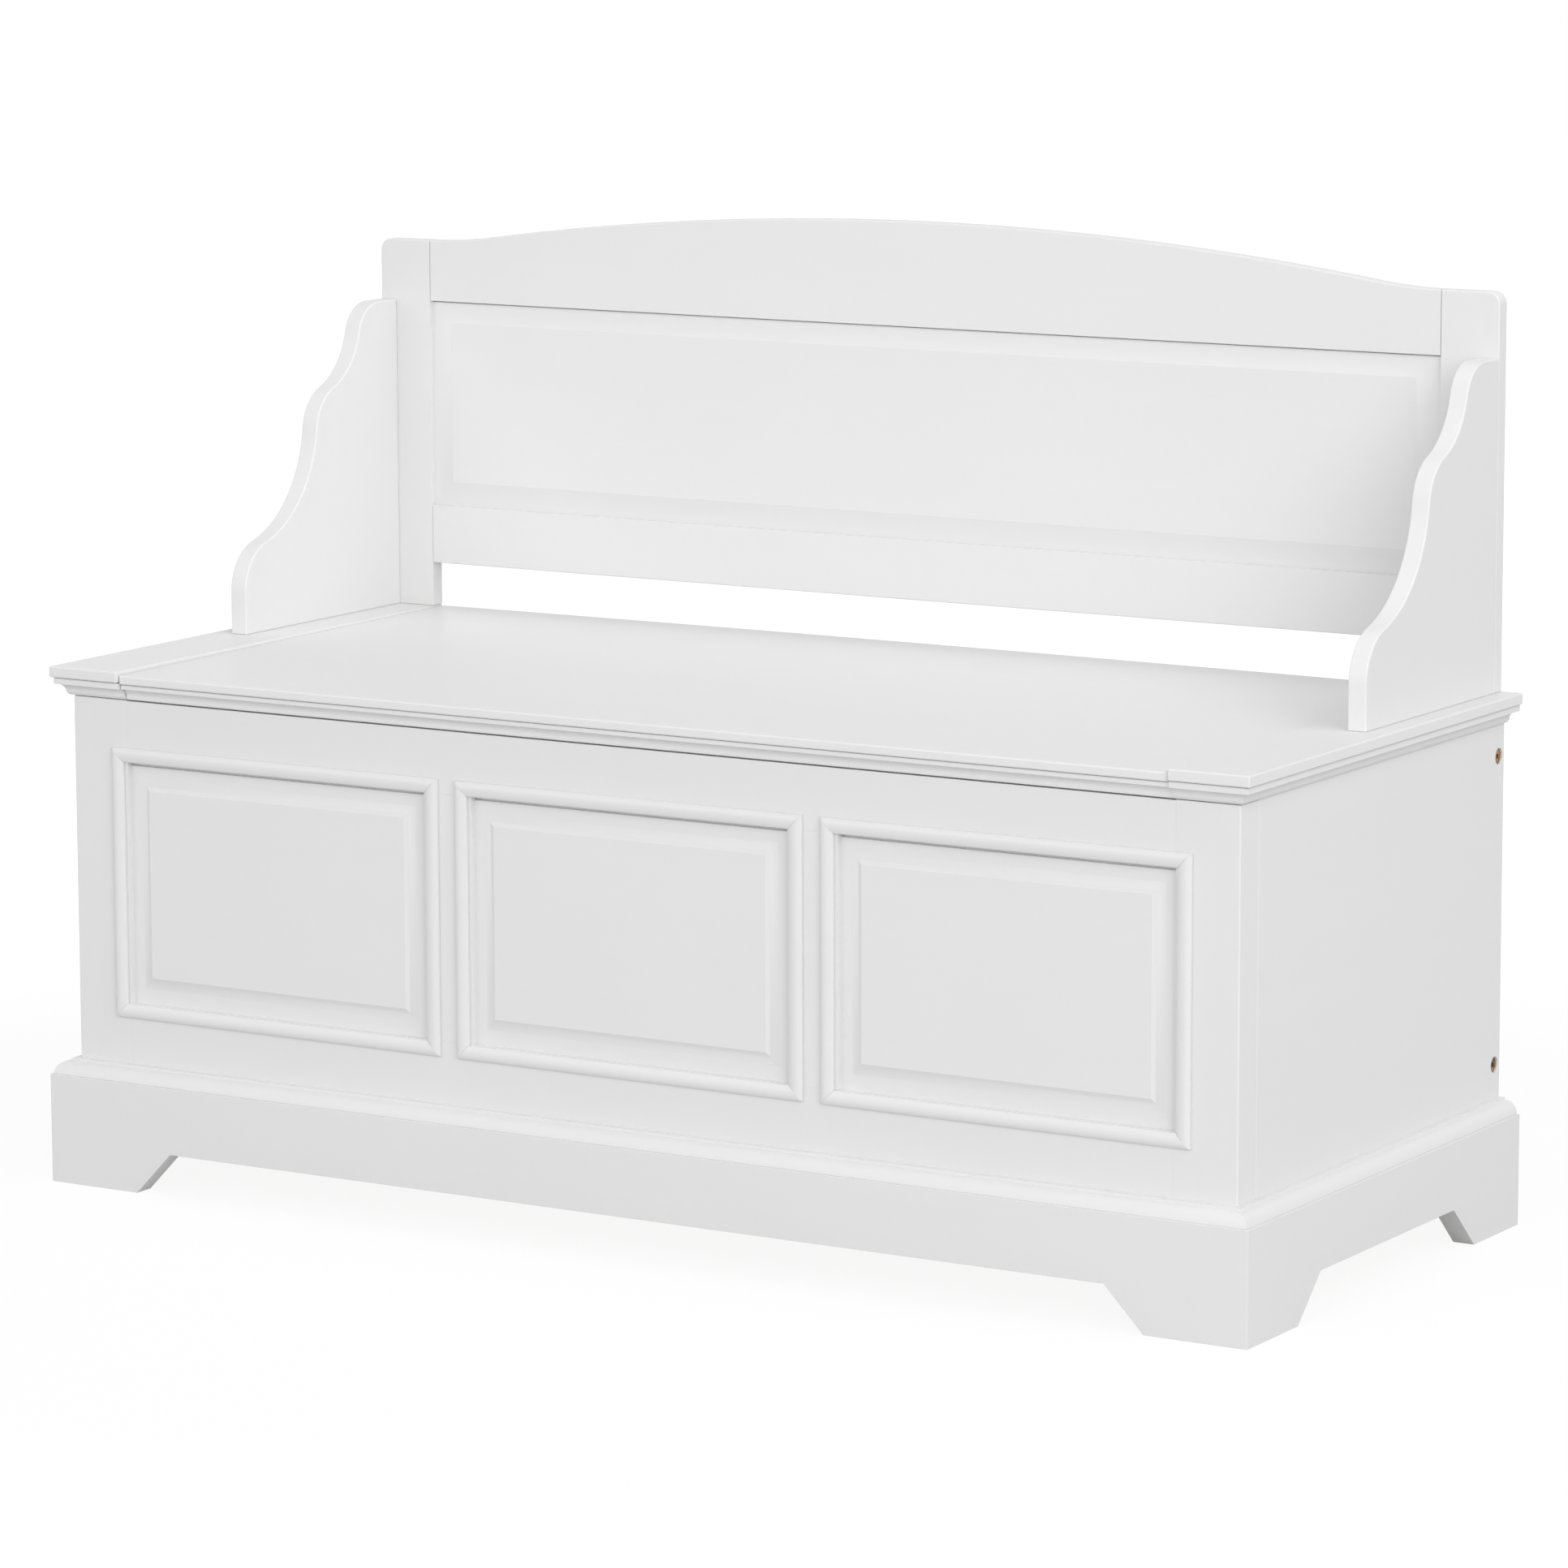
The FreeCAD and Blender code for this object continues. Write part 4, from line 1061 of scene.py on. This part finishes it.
@dataclass
class Seat:
    """The seat: two fixed caps with a cornice, and the lid between them with its own length of cornice."""

    edge_radius: float = 1.6 * MM
    end_radius: float = 0.8 * MM
    step_height: float = 6.0 * MM
    lid_step_height: float = 4.6 * MM
    step_inset: float = 3.0 * MM
    cove_radius: float = 6.8 * MM
    foot: float = 0.6 * MM
    cap_foot: float = 2.2 * MM
    round_sag: float = 0.25 * MM
    line: float = 0.65 * MM
    line_depth: float = 4.0 * MM
    rear_rise: float = 2.0 * MM
    bow: float = 1.4 * MM
    bow_steps: int = 12
    arris: float = 0.4 * MM

    def cornice(self, sweep: Sweep, face: float, outward: float, reach: float, foot: float, start: float,
                length: float) -> Solid:
        """A straight length of cornice: a hollow above a small round.

        Args:
            sweep: the axis that it runs along.
            face: where the chest's face is across that axis.
            outward: 1 or -1, the way out from the face.
            reach: how far the cornice stands out at its top.
            foot: how far it stands out at its foot.
            start: where it starts.
            length: how long it is.

        Returns:
            The length, not mitred yet.
        """
        box = Box.of("cap_moulding_right")
        low, top = box.low.z, box.high.z
        hollow = (reach - self.cove_radius, top - self.cove_radius)
        bend = on_circle((reach, hollow[1]), self.cove_radius, QUARTER_MIDDLE)
        swell = bowed(hollow, (foot, low), self.round_sag)

        def at(distance: float, height: float) -> Point:
            """A flat point, from its distance out of the face and its height."""
            return face + outward * distance, height

        return (Outline(sweep, start, at(0.0, low)).line(at(0.0, top), at(reach, top))
                .arc(at(*bend), at(*hollow), steps=10).arc(at(*swell), at(foot, low)).solid(length))

    def build(self) -> None:
        """Makes the caps and their cornices, then the lid and its fittings."""
        for side in Side:
            self.build_cap(side)
            dress("cap_rail_" + side.value, BareBoard(Grain.ALONG_Y), self.arris)
        self.build_lid()
        dress("seat_dowels", BEECH, DOWEL_ARRIS)
        dress("lid_bumpers", PaleRubber(), self.arris)

    def slab(self, low: Vector, high: Vector, step: float, *rounded: EdgeTest) -> Solid:
        """The slab of a seat board, with rounded edges, above the place of its narrower step.

        Args:
            low: the board's lowest corner.
            high: its highest corner.
            step: how high the step below the slab is.
            rounded: tests for the planes whose edges are rounded.

        Returns:
            The slab, without its step.
        """
        board = Solid.block((low.x, low.y, low.z + step), high)
        return board.round_edges(self.edge_radius, lambda edge: any(test(edge) for test in rounded),
                                 segments=6)

    def build_cap(self, side: Side) -> None:
        """A fixed end of the seat, with the cornice round it."""
        box = Box.of("cap_right")
        cap = self.slab(box.low, box.high, self.step_height, lies_at(0, box.low.x, box.high.x),
                        lies_at(1, box.low.y, box.high.y))
        step = box.low.z + self.step_height
        edge, side_edge = box.low.y + self.step_inset, box.high.x - self.step_inset
        cap.add(Solid.block((box.low.x, edge, box.low.z), (side_edge, box.high.y, step - self.line)))
        cap.add(Solid.block((box.low.x, edge + self.line_depth, step - self.line),
                            (side_edge - self.line_depth, box.high.y, step)))
        paint(side.turn(cap), "cap_" + side.value, Grain.ALONG_Y, self.arris)
        cornice, chest = Box.of("cap_moulding_right"), Box.of("stile_right")
        reach = cornice.high.x - chest.high.x
        corner = (cornice.high.x, cornice.low.y, 0.0)
        front = self.cornice(Sweep.ALONG_X, chest.low.y, -1.0, reach, self.cap_foot, cornice.low.x,
                             cornice.high.x - cornice.low.x)
        flank = self.cornice(Sweep.ALONG_Y, chest.high.x, 1.0, reach, self.cap_foot, cornice.low.y,
                             cornice.high.y - cornice.low.y)
        front.cut(corner, (1.0, 1.0, 0.0))
        flank.cut(corner, (-1.0, -1.0, 0.0))
        paint(side.turn(front.add(flank)), "cap_moulding_" + side.value, Grain.ALONG_Y, self.arris)

    def warp(self, lid: Solid, box: Box) -> None:
        """Lifts the lid's top towards its rear, most in the middle, as a wide glued-up board settles.

        Args:
            lid: the lid's slab.
            box: the whole lid board.
        """
        size = box.high - box.low
        for index in range(1, self.bow_steps):
            lid.split((box.low.x + size.x * index / self.bow_steps, 0.0, 0.0), (1.0, 0.0, 0.0))
        for vert in lid.mesh.verts:
            if vert.co.z > box.middle.z:
                off_middle = 2.0 * (vert.co.x - box.middle.x) / size.x
                lift = self.rear_rise + self.bow * (1.0 - off_middle ** 2)
                vert.co.z += lift * (vert.co.y - box.low.y) / size.y

    def build_lid(self) -> None:
        """The lid board, with seats for the hinge leaves, and the cornice below its front edge."""
        box = Box.of("lid_board")
        lid = self.slab(box.low, box.high, self.lid_step_height, lies_at(1, box.low.y))
        lid.round_edges(self.end_radius, lambda edge: lies_at(0, box.low.x, box.high.x)(edge)
                        or lies_at(1, box.high.y)(edge), segments=4)
        self.warp(lid, box)
        step, edge = box.low.z + self.lid_step_height, box.low.y + self.step_inset
        under = Solid.block((box.low.x, edge, box.low.z), (box.high.x, box.high.y, step - self.line))
        core = Solid.block((box.low.x, edge + self.line_depth, step - self.line),
                           (box.high.x, box.high.y, step))
        for name in HINGES:
            leaf = Box.of(f"hinge_{name}_lid_leaf")
            low = Vector((leaf.low.x - HINGE_SLACK, leaf.low.y - HINGE_SLACK, box.low.z))
            high = Vector((leaf.high.x + HINGE_SLACK, box.high.y, box.low.z + HINGE_SEAT_DEPTH))
            under.open_seat(low, high, upward=-1.0)
        paint(lid.add(under).add(core), "lid_board", Grain.ALONG_X, self.arris, LID)
        cornice = Box.of("lid_moulding")
        length = self.cornice(Sweep.ALONG_X, cornice.high.y, -1.0, cornice.high.y - cornice.low.y, self.foot,
                              cornice.low.x, cornice.high.x - cornice.low.x)
        paint(length, "lid_moulding", Grain.ALONG_X, self.arris, LID)


@dataclass
class Backrest:
    """The back: two posts, an arched crest rail, a lower rail and a fielded panel, and the scrolled arms."""

    seam: float = 0.3 * MM
    crest_gap: float = 0.6 * MM
    rail_gap: float = 0.4 * MM
    foot_gap: float = 0.2 * MM
    arm_gap: float = 0.35 * MM
    edge_radius: float = 1.5 * MM
    post_corner: float = 11.0 * MM
    crest_end_radius: float = 430.0 * MM
    panel_rise: float = 4.0 * MM
    panel_margin: float = 4.5 * MM
    panel_side_margin: float = 5.5 * MM
    panel_bevel: float = 18.0 * MM
    panel_slit: float = 1.3 * MM
    panel_lift: float = 2.4 * MM
    bolt_recess: float = 6.8 * MM
    bolt_depth: float = 3.8 * MM
    foot_height: float = 38.1 * MM
    # Each arc of an arm's front edge: its radius, and the heading it ends at, in degrees back from upright.
    curves: tuple[Point, ...] = ((45.6 * MM, 74.5), (113.2 * MM, 6.7), (43.9 * MM, 69.1), (69.2 * MM, 13.8),
                                 (33.7 * MM, 90.0))

    def build(self) -> None:
        """Makes the posts and arms, then the rails and the panel between them."""
        for side in Side:
            self.build_post(side)
            self.build_arm(side)
        self.build_crest()
        rail = Box.of("backrest_rail")
        gap = Vector((self.rail_gap, 0.0, 0.0))
        lower = Solid.block(rail.low + gap, rail.high - gap)
        lower.round_edges(self.edge_radius, along(0), lies_at(2, rail.low.z))
        paint(lower, "backrest_rail", Grain.ALONG_X, self.seam)
        crest = Box.of("crest_rail")
        RaisedPanel("backrest_panel", rail.low.x, rail.high.x, rail.high.z, crest.low.z + self.panel_lift,
                    self.panel_rise, self.panel_side_margin, self.panel_margin, self.panel_bevel,
                    self.panel_slit + self.panel_lift).build()
        dress("backrest_dowels", BEECH, DOWEL_ARRIS)

    def build_post(self, side: Side) -> None:
        """A post with a rounded outer shoulder, and seats for the arm's bolts in its rear."""
        box = Box.of("back_post_right")
        bolts = Box.of("arm_bolts")
        bend = (box.high.x - self.post_corner, box.high.z - self.post_corner)
        base = box.low.z + self.foot_gap
        post = (Outline(Sweep.ALONG_Y, box.low.y, (box.low.x, base))
                .line((box.high.x, base), (box.high.x, bend[1]))
                .arc(on_circle(bend, self.post_corner, 45.0), (bend[0], box.high.z), steps=10)
                .line((box.low.x, box.high.z)).solid(box.high.y - box.low.y))
        inner, foot = lies_at(0, box.low.x), lies_at(2, base)
        post.round_edges(self.edge_radius, lies_at(1, box.low.y, box.high.y),
                         lambda edge: not inner(edge) and not foot(edge))
        for height in bolt_levels(bolts):
            post.bore(Vector((bolts.high.x - BOLT_HEAD_RADIUS, box.high.y, height)), Vector((0.0, 1.0, 0.0)),
                      self.bolt_recess, self.bolt_depth)
        paint(side.turn(post), "back_post_" + side.value, Grain.ALONG_Z, self.seam)

    def build_crest(self) -> None:
        """The crest rail: a low arch that sweeps level into the posts."""
        box = Box.of("crest_rail")
        half, apex = box.high.x - self.crest_gap, box.high.z
        top = Box.of("back_post_right").high.z
        turn = 2.0 * math.atan((apex - top) / half)

        def on_sweep(angle: float) -> Point:
            """A point on the hollow that leads into the right post."""
            return (half - self.crest_end_radius * math.sin(angle),
                    top + self.crest_end_radius * (1.0 - math.cos(angle)))

        middle, end = on_sweep(turn / 2), on_sweep(turn)
        crest = (Outline(Sweep.ALONG_Y, box.low.y, (-half, box.low.z)).line((half, box.low.z), (half, top))
                 .arc(middle, end).arc((0.0, apex), (-end[0], end[1]), steps=64)
                 .arc((-middle[0], middle[1]), (-half, top)).solid(box.high.y - box.low.y))
        crest.round_edges(self.edge_radius, lies_at(1, box.low.y, box.high.y),
                          lambda edge: min(vert.co.z for vert in edge.verts) > top - TOUCH)
        paint(crest, "crest_rail", Grain.ALONG_X, self.seam)

    def build_arm(self, side: Side) -> None:
        """A scrolled arm: an upright front, rounds and hollows in turn, and a level top against the post."""
        box = Box.of("arm_right")
        base = box.low.z + self.foot_gap
        start = (box.low.y, box.low.z + self.foot_height)
        arm = Outline(Sweep.ALONG_X, box.low.x, (box.low.y, base)).line(start)
        heading = 0.0
        for radius, degrees in self.curves:
            end = math.radians(degrees)
            turn = math.copysign(radius, end - heading)
            place = arm.here

            def at(angle: float) -> Point:
                """The point of this arc that has the given heading."""
                return (place[0] + turn * (math.cos(heading) - math.cos(angle)),
                        place[1] + turn * (math.sin(angle) - math.sin(heading)))

            arm.arc(at((heading + end) / 2), at(end), steps=14)
            heading = end
        end = box.high.y - self.arm_gap
        solid = arm.line((end, box.high.z), (end, base)).solid(box.high.x - box.low.x)
        foot, rear = lies_at(2, base), lies_at(1, end)
        solid.round_edges(self.edge_radius, lies_at(0, box.low.x, box.high.x),
                          lambda edge: not foot(edge) and not rear(edge))
        paint(side.turn(solid), "arm_" + side.value, Grain.ALONG_Z, self.seam)


@dataclass
class Bolts:
    """Flat-headed connecting bolts with a hexagon socket, sunk a little below the wood."""

    head_radius: float = BOLT_HEAD_RADIUS
    head_height: float = 2.2 * MM
    head_round: float = 0.7 * MM
    shank_radius: float = 3.0 * MM
    socket_width: float = 4.0 * MM
    socket_depth: float = 1.5 * MM
    sides: int = 48
    arris: float = 0.12 * MM

    def bolt(self, head: Vector, inward: Vector, length: float) -> Solid:
        """One bolt.

        Args:
            head: the middle of the head's outer face.
            inward: the way the shank runs, along an axis.
            length: how long the whole bolt is.

        Returns:
            The bolt.
        """
        mesh = bmesh.new()
        bmesh.ops.create_circle(mesh, cap_ends=True, radius=self.head_radius, segments=self.sides)
        face = mesh.faces[:][0]
        if face.normal.z < 0.0:
            bmesh.ops.reverse_faces(mesh, faces=[face])
        back = bmesh.ops.extrude_face_region(mesh, geom=[face])["geom"]
        bmesh.ops.translate(mesh, vec=-UP * self.head_height, verts=points_of(back))
        bmesh.ops.recalc_face_normals(mesh, faces=mesh.faces[:])
        solid = Solid(mesh)
        solid.round_edges(self.head_round, lies_at(2, 0.0), segments=4)
        front = solid.face_at(Vector(), UP)
        shape_face(mesh, front, Vector(), self.socket_width / 2, self.sides, self.sides, flats=6)
        solid.push(front, -UP * self.socket_depth)
        seat = solid.face_at(-UP * self.head_height, -UP)
        bmesh.ops.inset_region(mesh, faces=[seat], thickness=self.head_radius - self.shank_radius)
        solid.push(seat, UP * (self.head_height - length))
        turn = (-UP).rotation_difference(inward).to_matrix().to_4x4()
        bmesh.ops.transform(mesh, matrix=Matrix.Translation(head) @ turn, verts=mesh.verts[:])
        return solid

    def build(self) -> None:
        """Makes the four side bolts and the four arm bolts."""
        box = Box.of("side_bolts")
        length = box.high.x - Box.of("barrel_nuts").high.x
        bolts = [self.bolt(Vector((side * box.high.x, box.middle.y, height)), Vector((-side, 0.0, 0.0)),
                           length)
                 for side in (-1.0, 1.0) for height in bolt_levels(box)]
        self.place(bolts, "side_bolts")
        box = Box.of("arm_bolts")
        bolts = [self.bolt(Vector((side * (box.high.x - self.head_radius), box.high.y, height)),
                           Vector((0.0, -1.0, 0.0)), box.high.y - box.low.y)
                 for side in (-1.0, 1.0) for height in bolt_levels(box)]
        self.place(bolts, "arm_bolts")

    def place(self, bolts: list[Solid], node: str) -> None:
        """Fits a set of bolts as one piece."""
        solid = bolts[0]
        for other in bolts[1:]:
            solid.add(other)
        fit(solid, node, BRONZE, self.arris, word="bronzed")


@dataclass
class Hardware:
    """The hinges and lid stays, which keep their CAD shapes."""

    arris: float = 0.25 * MM

    def build(self) -> None:
        """Dresses every leaf, pin, screw and stay in plated steel."""
        for place in HINGES:
            for half in ("frame", "lid"):
                dress(f"hinge_{place}_{half}_leaf", ZINC, self.arris)
        for node in ("hinge_pins", "hinge_frame_screws", "hinge_lid_screws", "stay_bracket_screws",
                     "stay_brackets", "stay_pins", "stay_studs", "stay_bar_left", "stay_bar_right"):
            dress(node, ZINC, self.arris)


def direction(azimuth: float, elevation: float) -> Vector:
    """The way from the bench to a lamp or the camera.

    Args:
        azimuth: the turn from the front towards the right, in degrees.
        elevation: the height above level, in degrees.

    Returns:
        A vector of length one.
    """
    turn, tilt = math.radians(azimuth), math.radians(elevation)
    return Vector((math.sin(turn) * math.cos(tilt), -math.cos(turn) * math.cos(tilt), math.sin(tilt)))


@dataclass(frozen=True)
class Lamp:
    """A soft square lamp that looks at the middle of the bench."""

    name: str
    azimuth: float
    elevation: float
    power: float
    distance: float = 8.0
    size: float = 5.0
    target: tuple[float, float, float] = (0.0, 0.0, 0.4)

    def build(self) -> None:
        """Adds the lamp to the scene."""
        light = bpy.data.lights.new(self.name, "AREA")
        light.shape = "SQUARE"
        light.size = self.size
        light.energy = self.power
        lamp = bpy.data.objects.new(self.name, light)
        away = direction(self.azimuth, self.elevation)
        lamp.location = Vector(self.target) + self.distance * away
        lamp.rotation_euler = away.to_track_quat("Z", "Y").to_euler()
        bpy.context.scene.collection.objects.link(lamp)


@dataclass
class Studio:
    """The pale floor, the soft light and the camera."""

    floor_radius: float = 14.0
    floor_sides: int = 96
    floor_colour: Colour = (0.55, 0.55, 0.55)
    floor_white: float = 0.85
    floor_glow: float = 1.08
    shadow_start: float = 0.9
    shadow_end: float = 2.0
    ambient: float = 0.38
    lamps: tuple[Lamp, ...] = (
        Lamp("front", 0.0, 18.0, 100.0), Lamp("front_left", -35.0, 18.0, 96.0),
        Lamp("right", 50.0, 19.0, 250.0), Lamp("right_high", 90.0, 42.0, 150.0),
        Lamp("top", 0.0, 89.0, 108.0), Lamp("rear", 180.0, 45.0, 14.0))
    camera_place: tuple[float, float, float] = (2.9625, -4.8628, 1.3158)
    azimuth: float = 31.276
    elevation: float = 9.403
    roll: float = 0.164
    lens: float = 151.81
    sensor: float = 36.0

    def build(self) -> None:
        """Sets the colour view and builds the whole studio."""
        bpy.context.scene.view_settings.view_transform = "Standard"
        self.build_floor()
        self.build_world()
        for lamp in self.lamps:
            lamp.build()
        self.build_camera()

    def seen_by_eye(self, graph: Graph) -> Value:
        """1 for rays that the camera sees straight on, in a reflection or through glass."""
        path = graph.node("ShaderNodeLightPath", {}, {}, "Is Camera Ray")
        node = path.socket.node
        return path.at_least(Value(graph, node.outputs["Is Glossy Ray"])).at_least(
            Value(graph, node.outputs["Is Transmission Ray"]))

    def build_floor(self) -> None:
        """A wide pale floor that keeps the bench's shadow."""
        mesh = bmesh.new()
        bmesh.ops.create_circle(mesh, cap_ends=True, radius=self.floor_radius, segments=self.floor_sides)
        bmesh.ops.recalc_face_normals(mesh, faces=mesh.faces[:])
        data = bpy.data.meshes.new("studio_floor")
        mesh.to_mesh(data)
        mesh.free()
        floor = bpy.data.objects.new("studio_floor", data)
        bpy.context.scene.collection.objects.link(floor)
        material, graph = new_material("studio_floor")
        lit = graph.surface("ShaderNodeBsdfDiffuse", {"Color": (*self.floor_colour, 1.0)})
        white = graph.surface("ShaderNodeEmission", {"Color": WHITE, "Strength": self.floor_glow})
        distance = graph.node("ShaderNodeVectorMath", {"operation": "LENGTH"}, {0: graph.coordinate()},
                              "Value")
        far = graph.ramp(distance, self.shadow_start, self.shadow_end)
        share = self.seen_by_eye(graph) * (self.floor_white + (1.0 - self.floor_white) * far)
        graph.output(graph.surface("ShaderNodeMixShader", {0: share, 1: lit, 2: white}))
        data.materials.append(material)
        floor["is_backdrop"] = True

    def build_world(self) -> None:
        """Even light from all round, with a white background for the eye."""
        world = bpy.data.worlds.new("studio")
        world.use_nodes = True
        bpy.context.scene.world = world
        graph = Graph(world.node_tree)
        light = graph.surface("ShaderNodeBackground", {"Color": WHITE, "Strength": self.ambient})
        white = graph.surface("ShaderNodeBackground", {"Color": WHITE, "Strength": 1.0})
        mixed = graph.surface("ShaderNodeMixShader", {0: self.seen_by_eye(graph), 1: light, 2: white})
        graph.output(mixed, "ShaderNodeOutputWorld")

    def build_camera(self) -> None:
        """The camera at the photograph's viewpoint."""
        roll = math.radians(self.roll)
        back = direction(self.azimuth, self.elevation)
        right = (-back).cross(UP).normalized()
        down = (-back).cross(right)
        image_right = right * math.cos(roll) + down * math.sin(roll)
        image_up = right * math.sin(roll) - down * math.cos(roll)
        data = bpy.data.cameras.new("camera")
        data.lens = self.lens
        data.sensor_width = self.sensor
        camera = bpy.data.objects.new("camera", data)
        axes = Matrix((image_right, image_up, back)).transposed().to_4x4()
        camera.matrix_world = Matrix.Translation(self.camera_place) @ axes
        bpy.context.scene.collection.objects.link(camera)
        bpy.context.scene.camera = camera


def corners(bounds: tuple[Vector, Vector]) -> list[list[float]]:
    """A box as plain lists of numbers."""
    return [list(corner) for corner in bounds]


def main() -> None:
    """Builds the bench and its studio."""
    logging.basicConfig(level=logging.INFO, format="%(name)s: %(message)s")
    cad_box = corners(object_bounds())
    for assembly in (Studio(), Plinth(), ChestFront(), ChestBody(), Seat(), Backrest(), Bolts(), Hardware()):
        assembly.build()
        log.info("%s done", type(assembly).__name__)
    {"cad": cad_box, "visual": corners(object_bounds())}


if __name__ == "__main__":
    main()
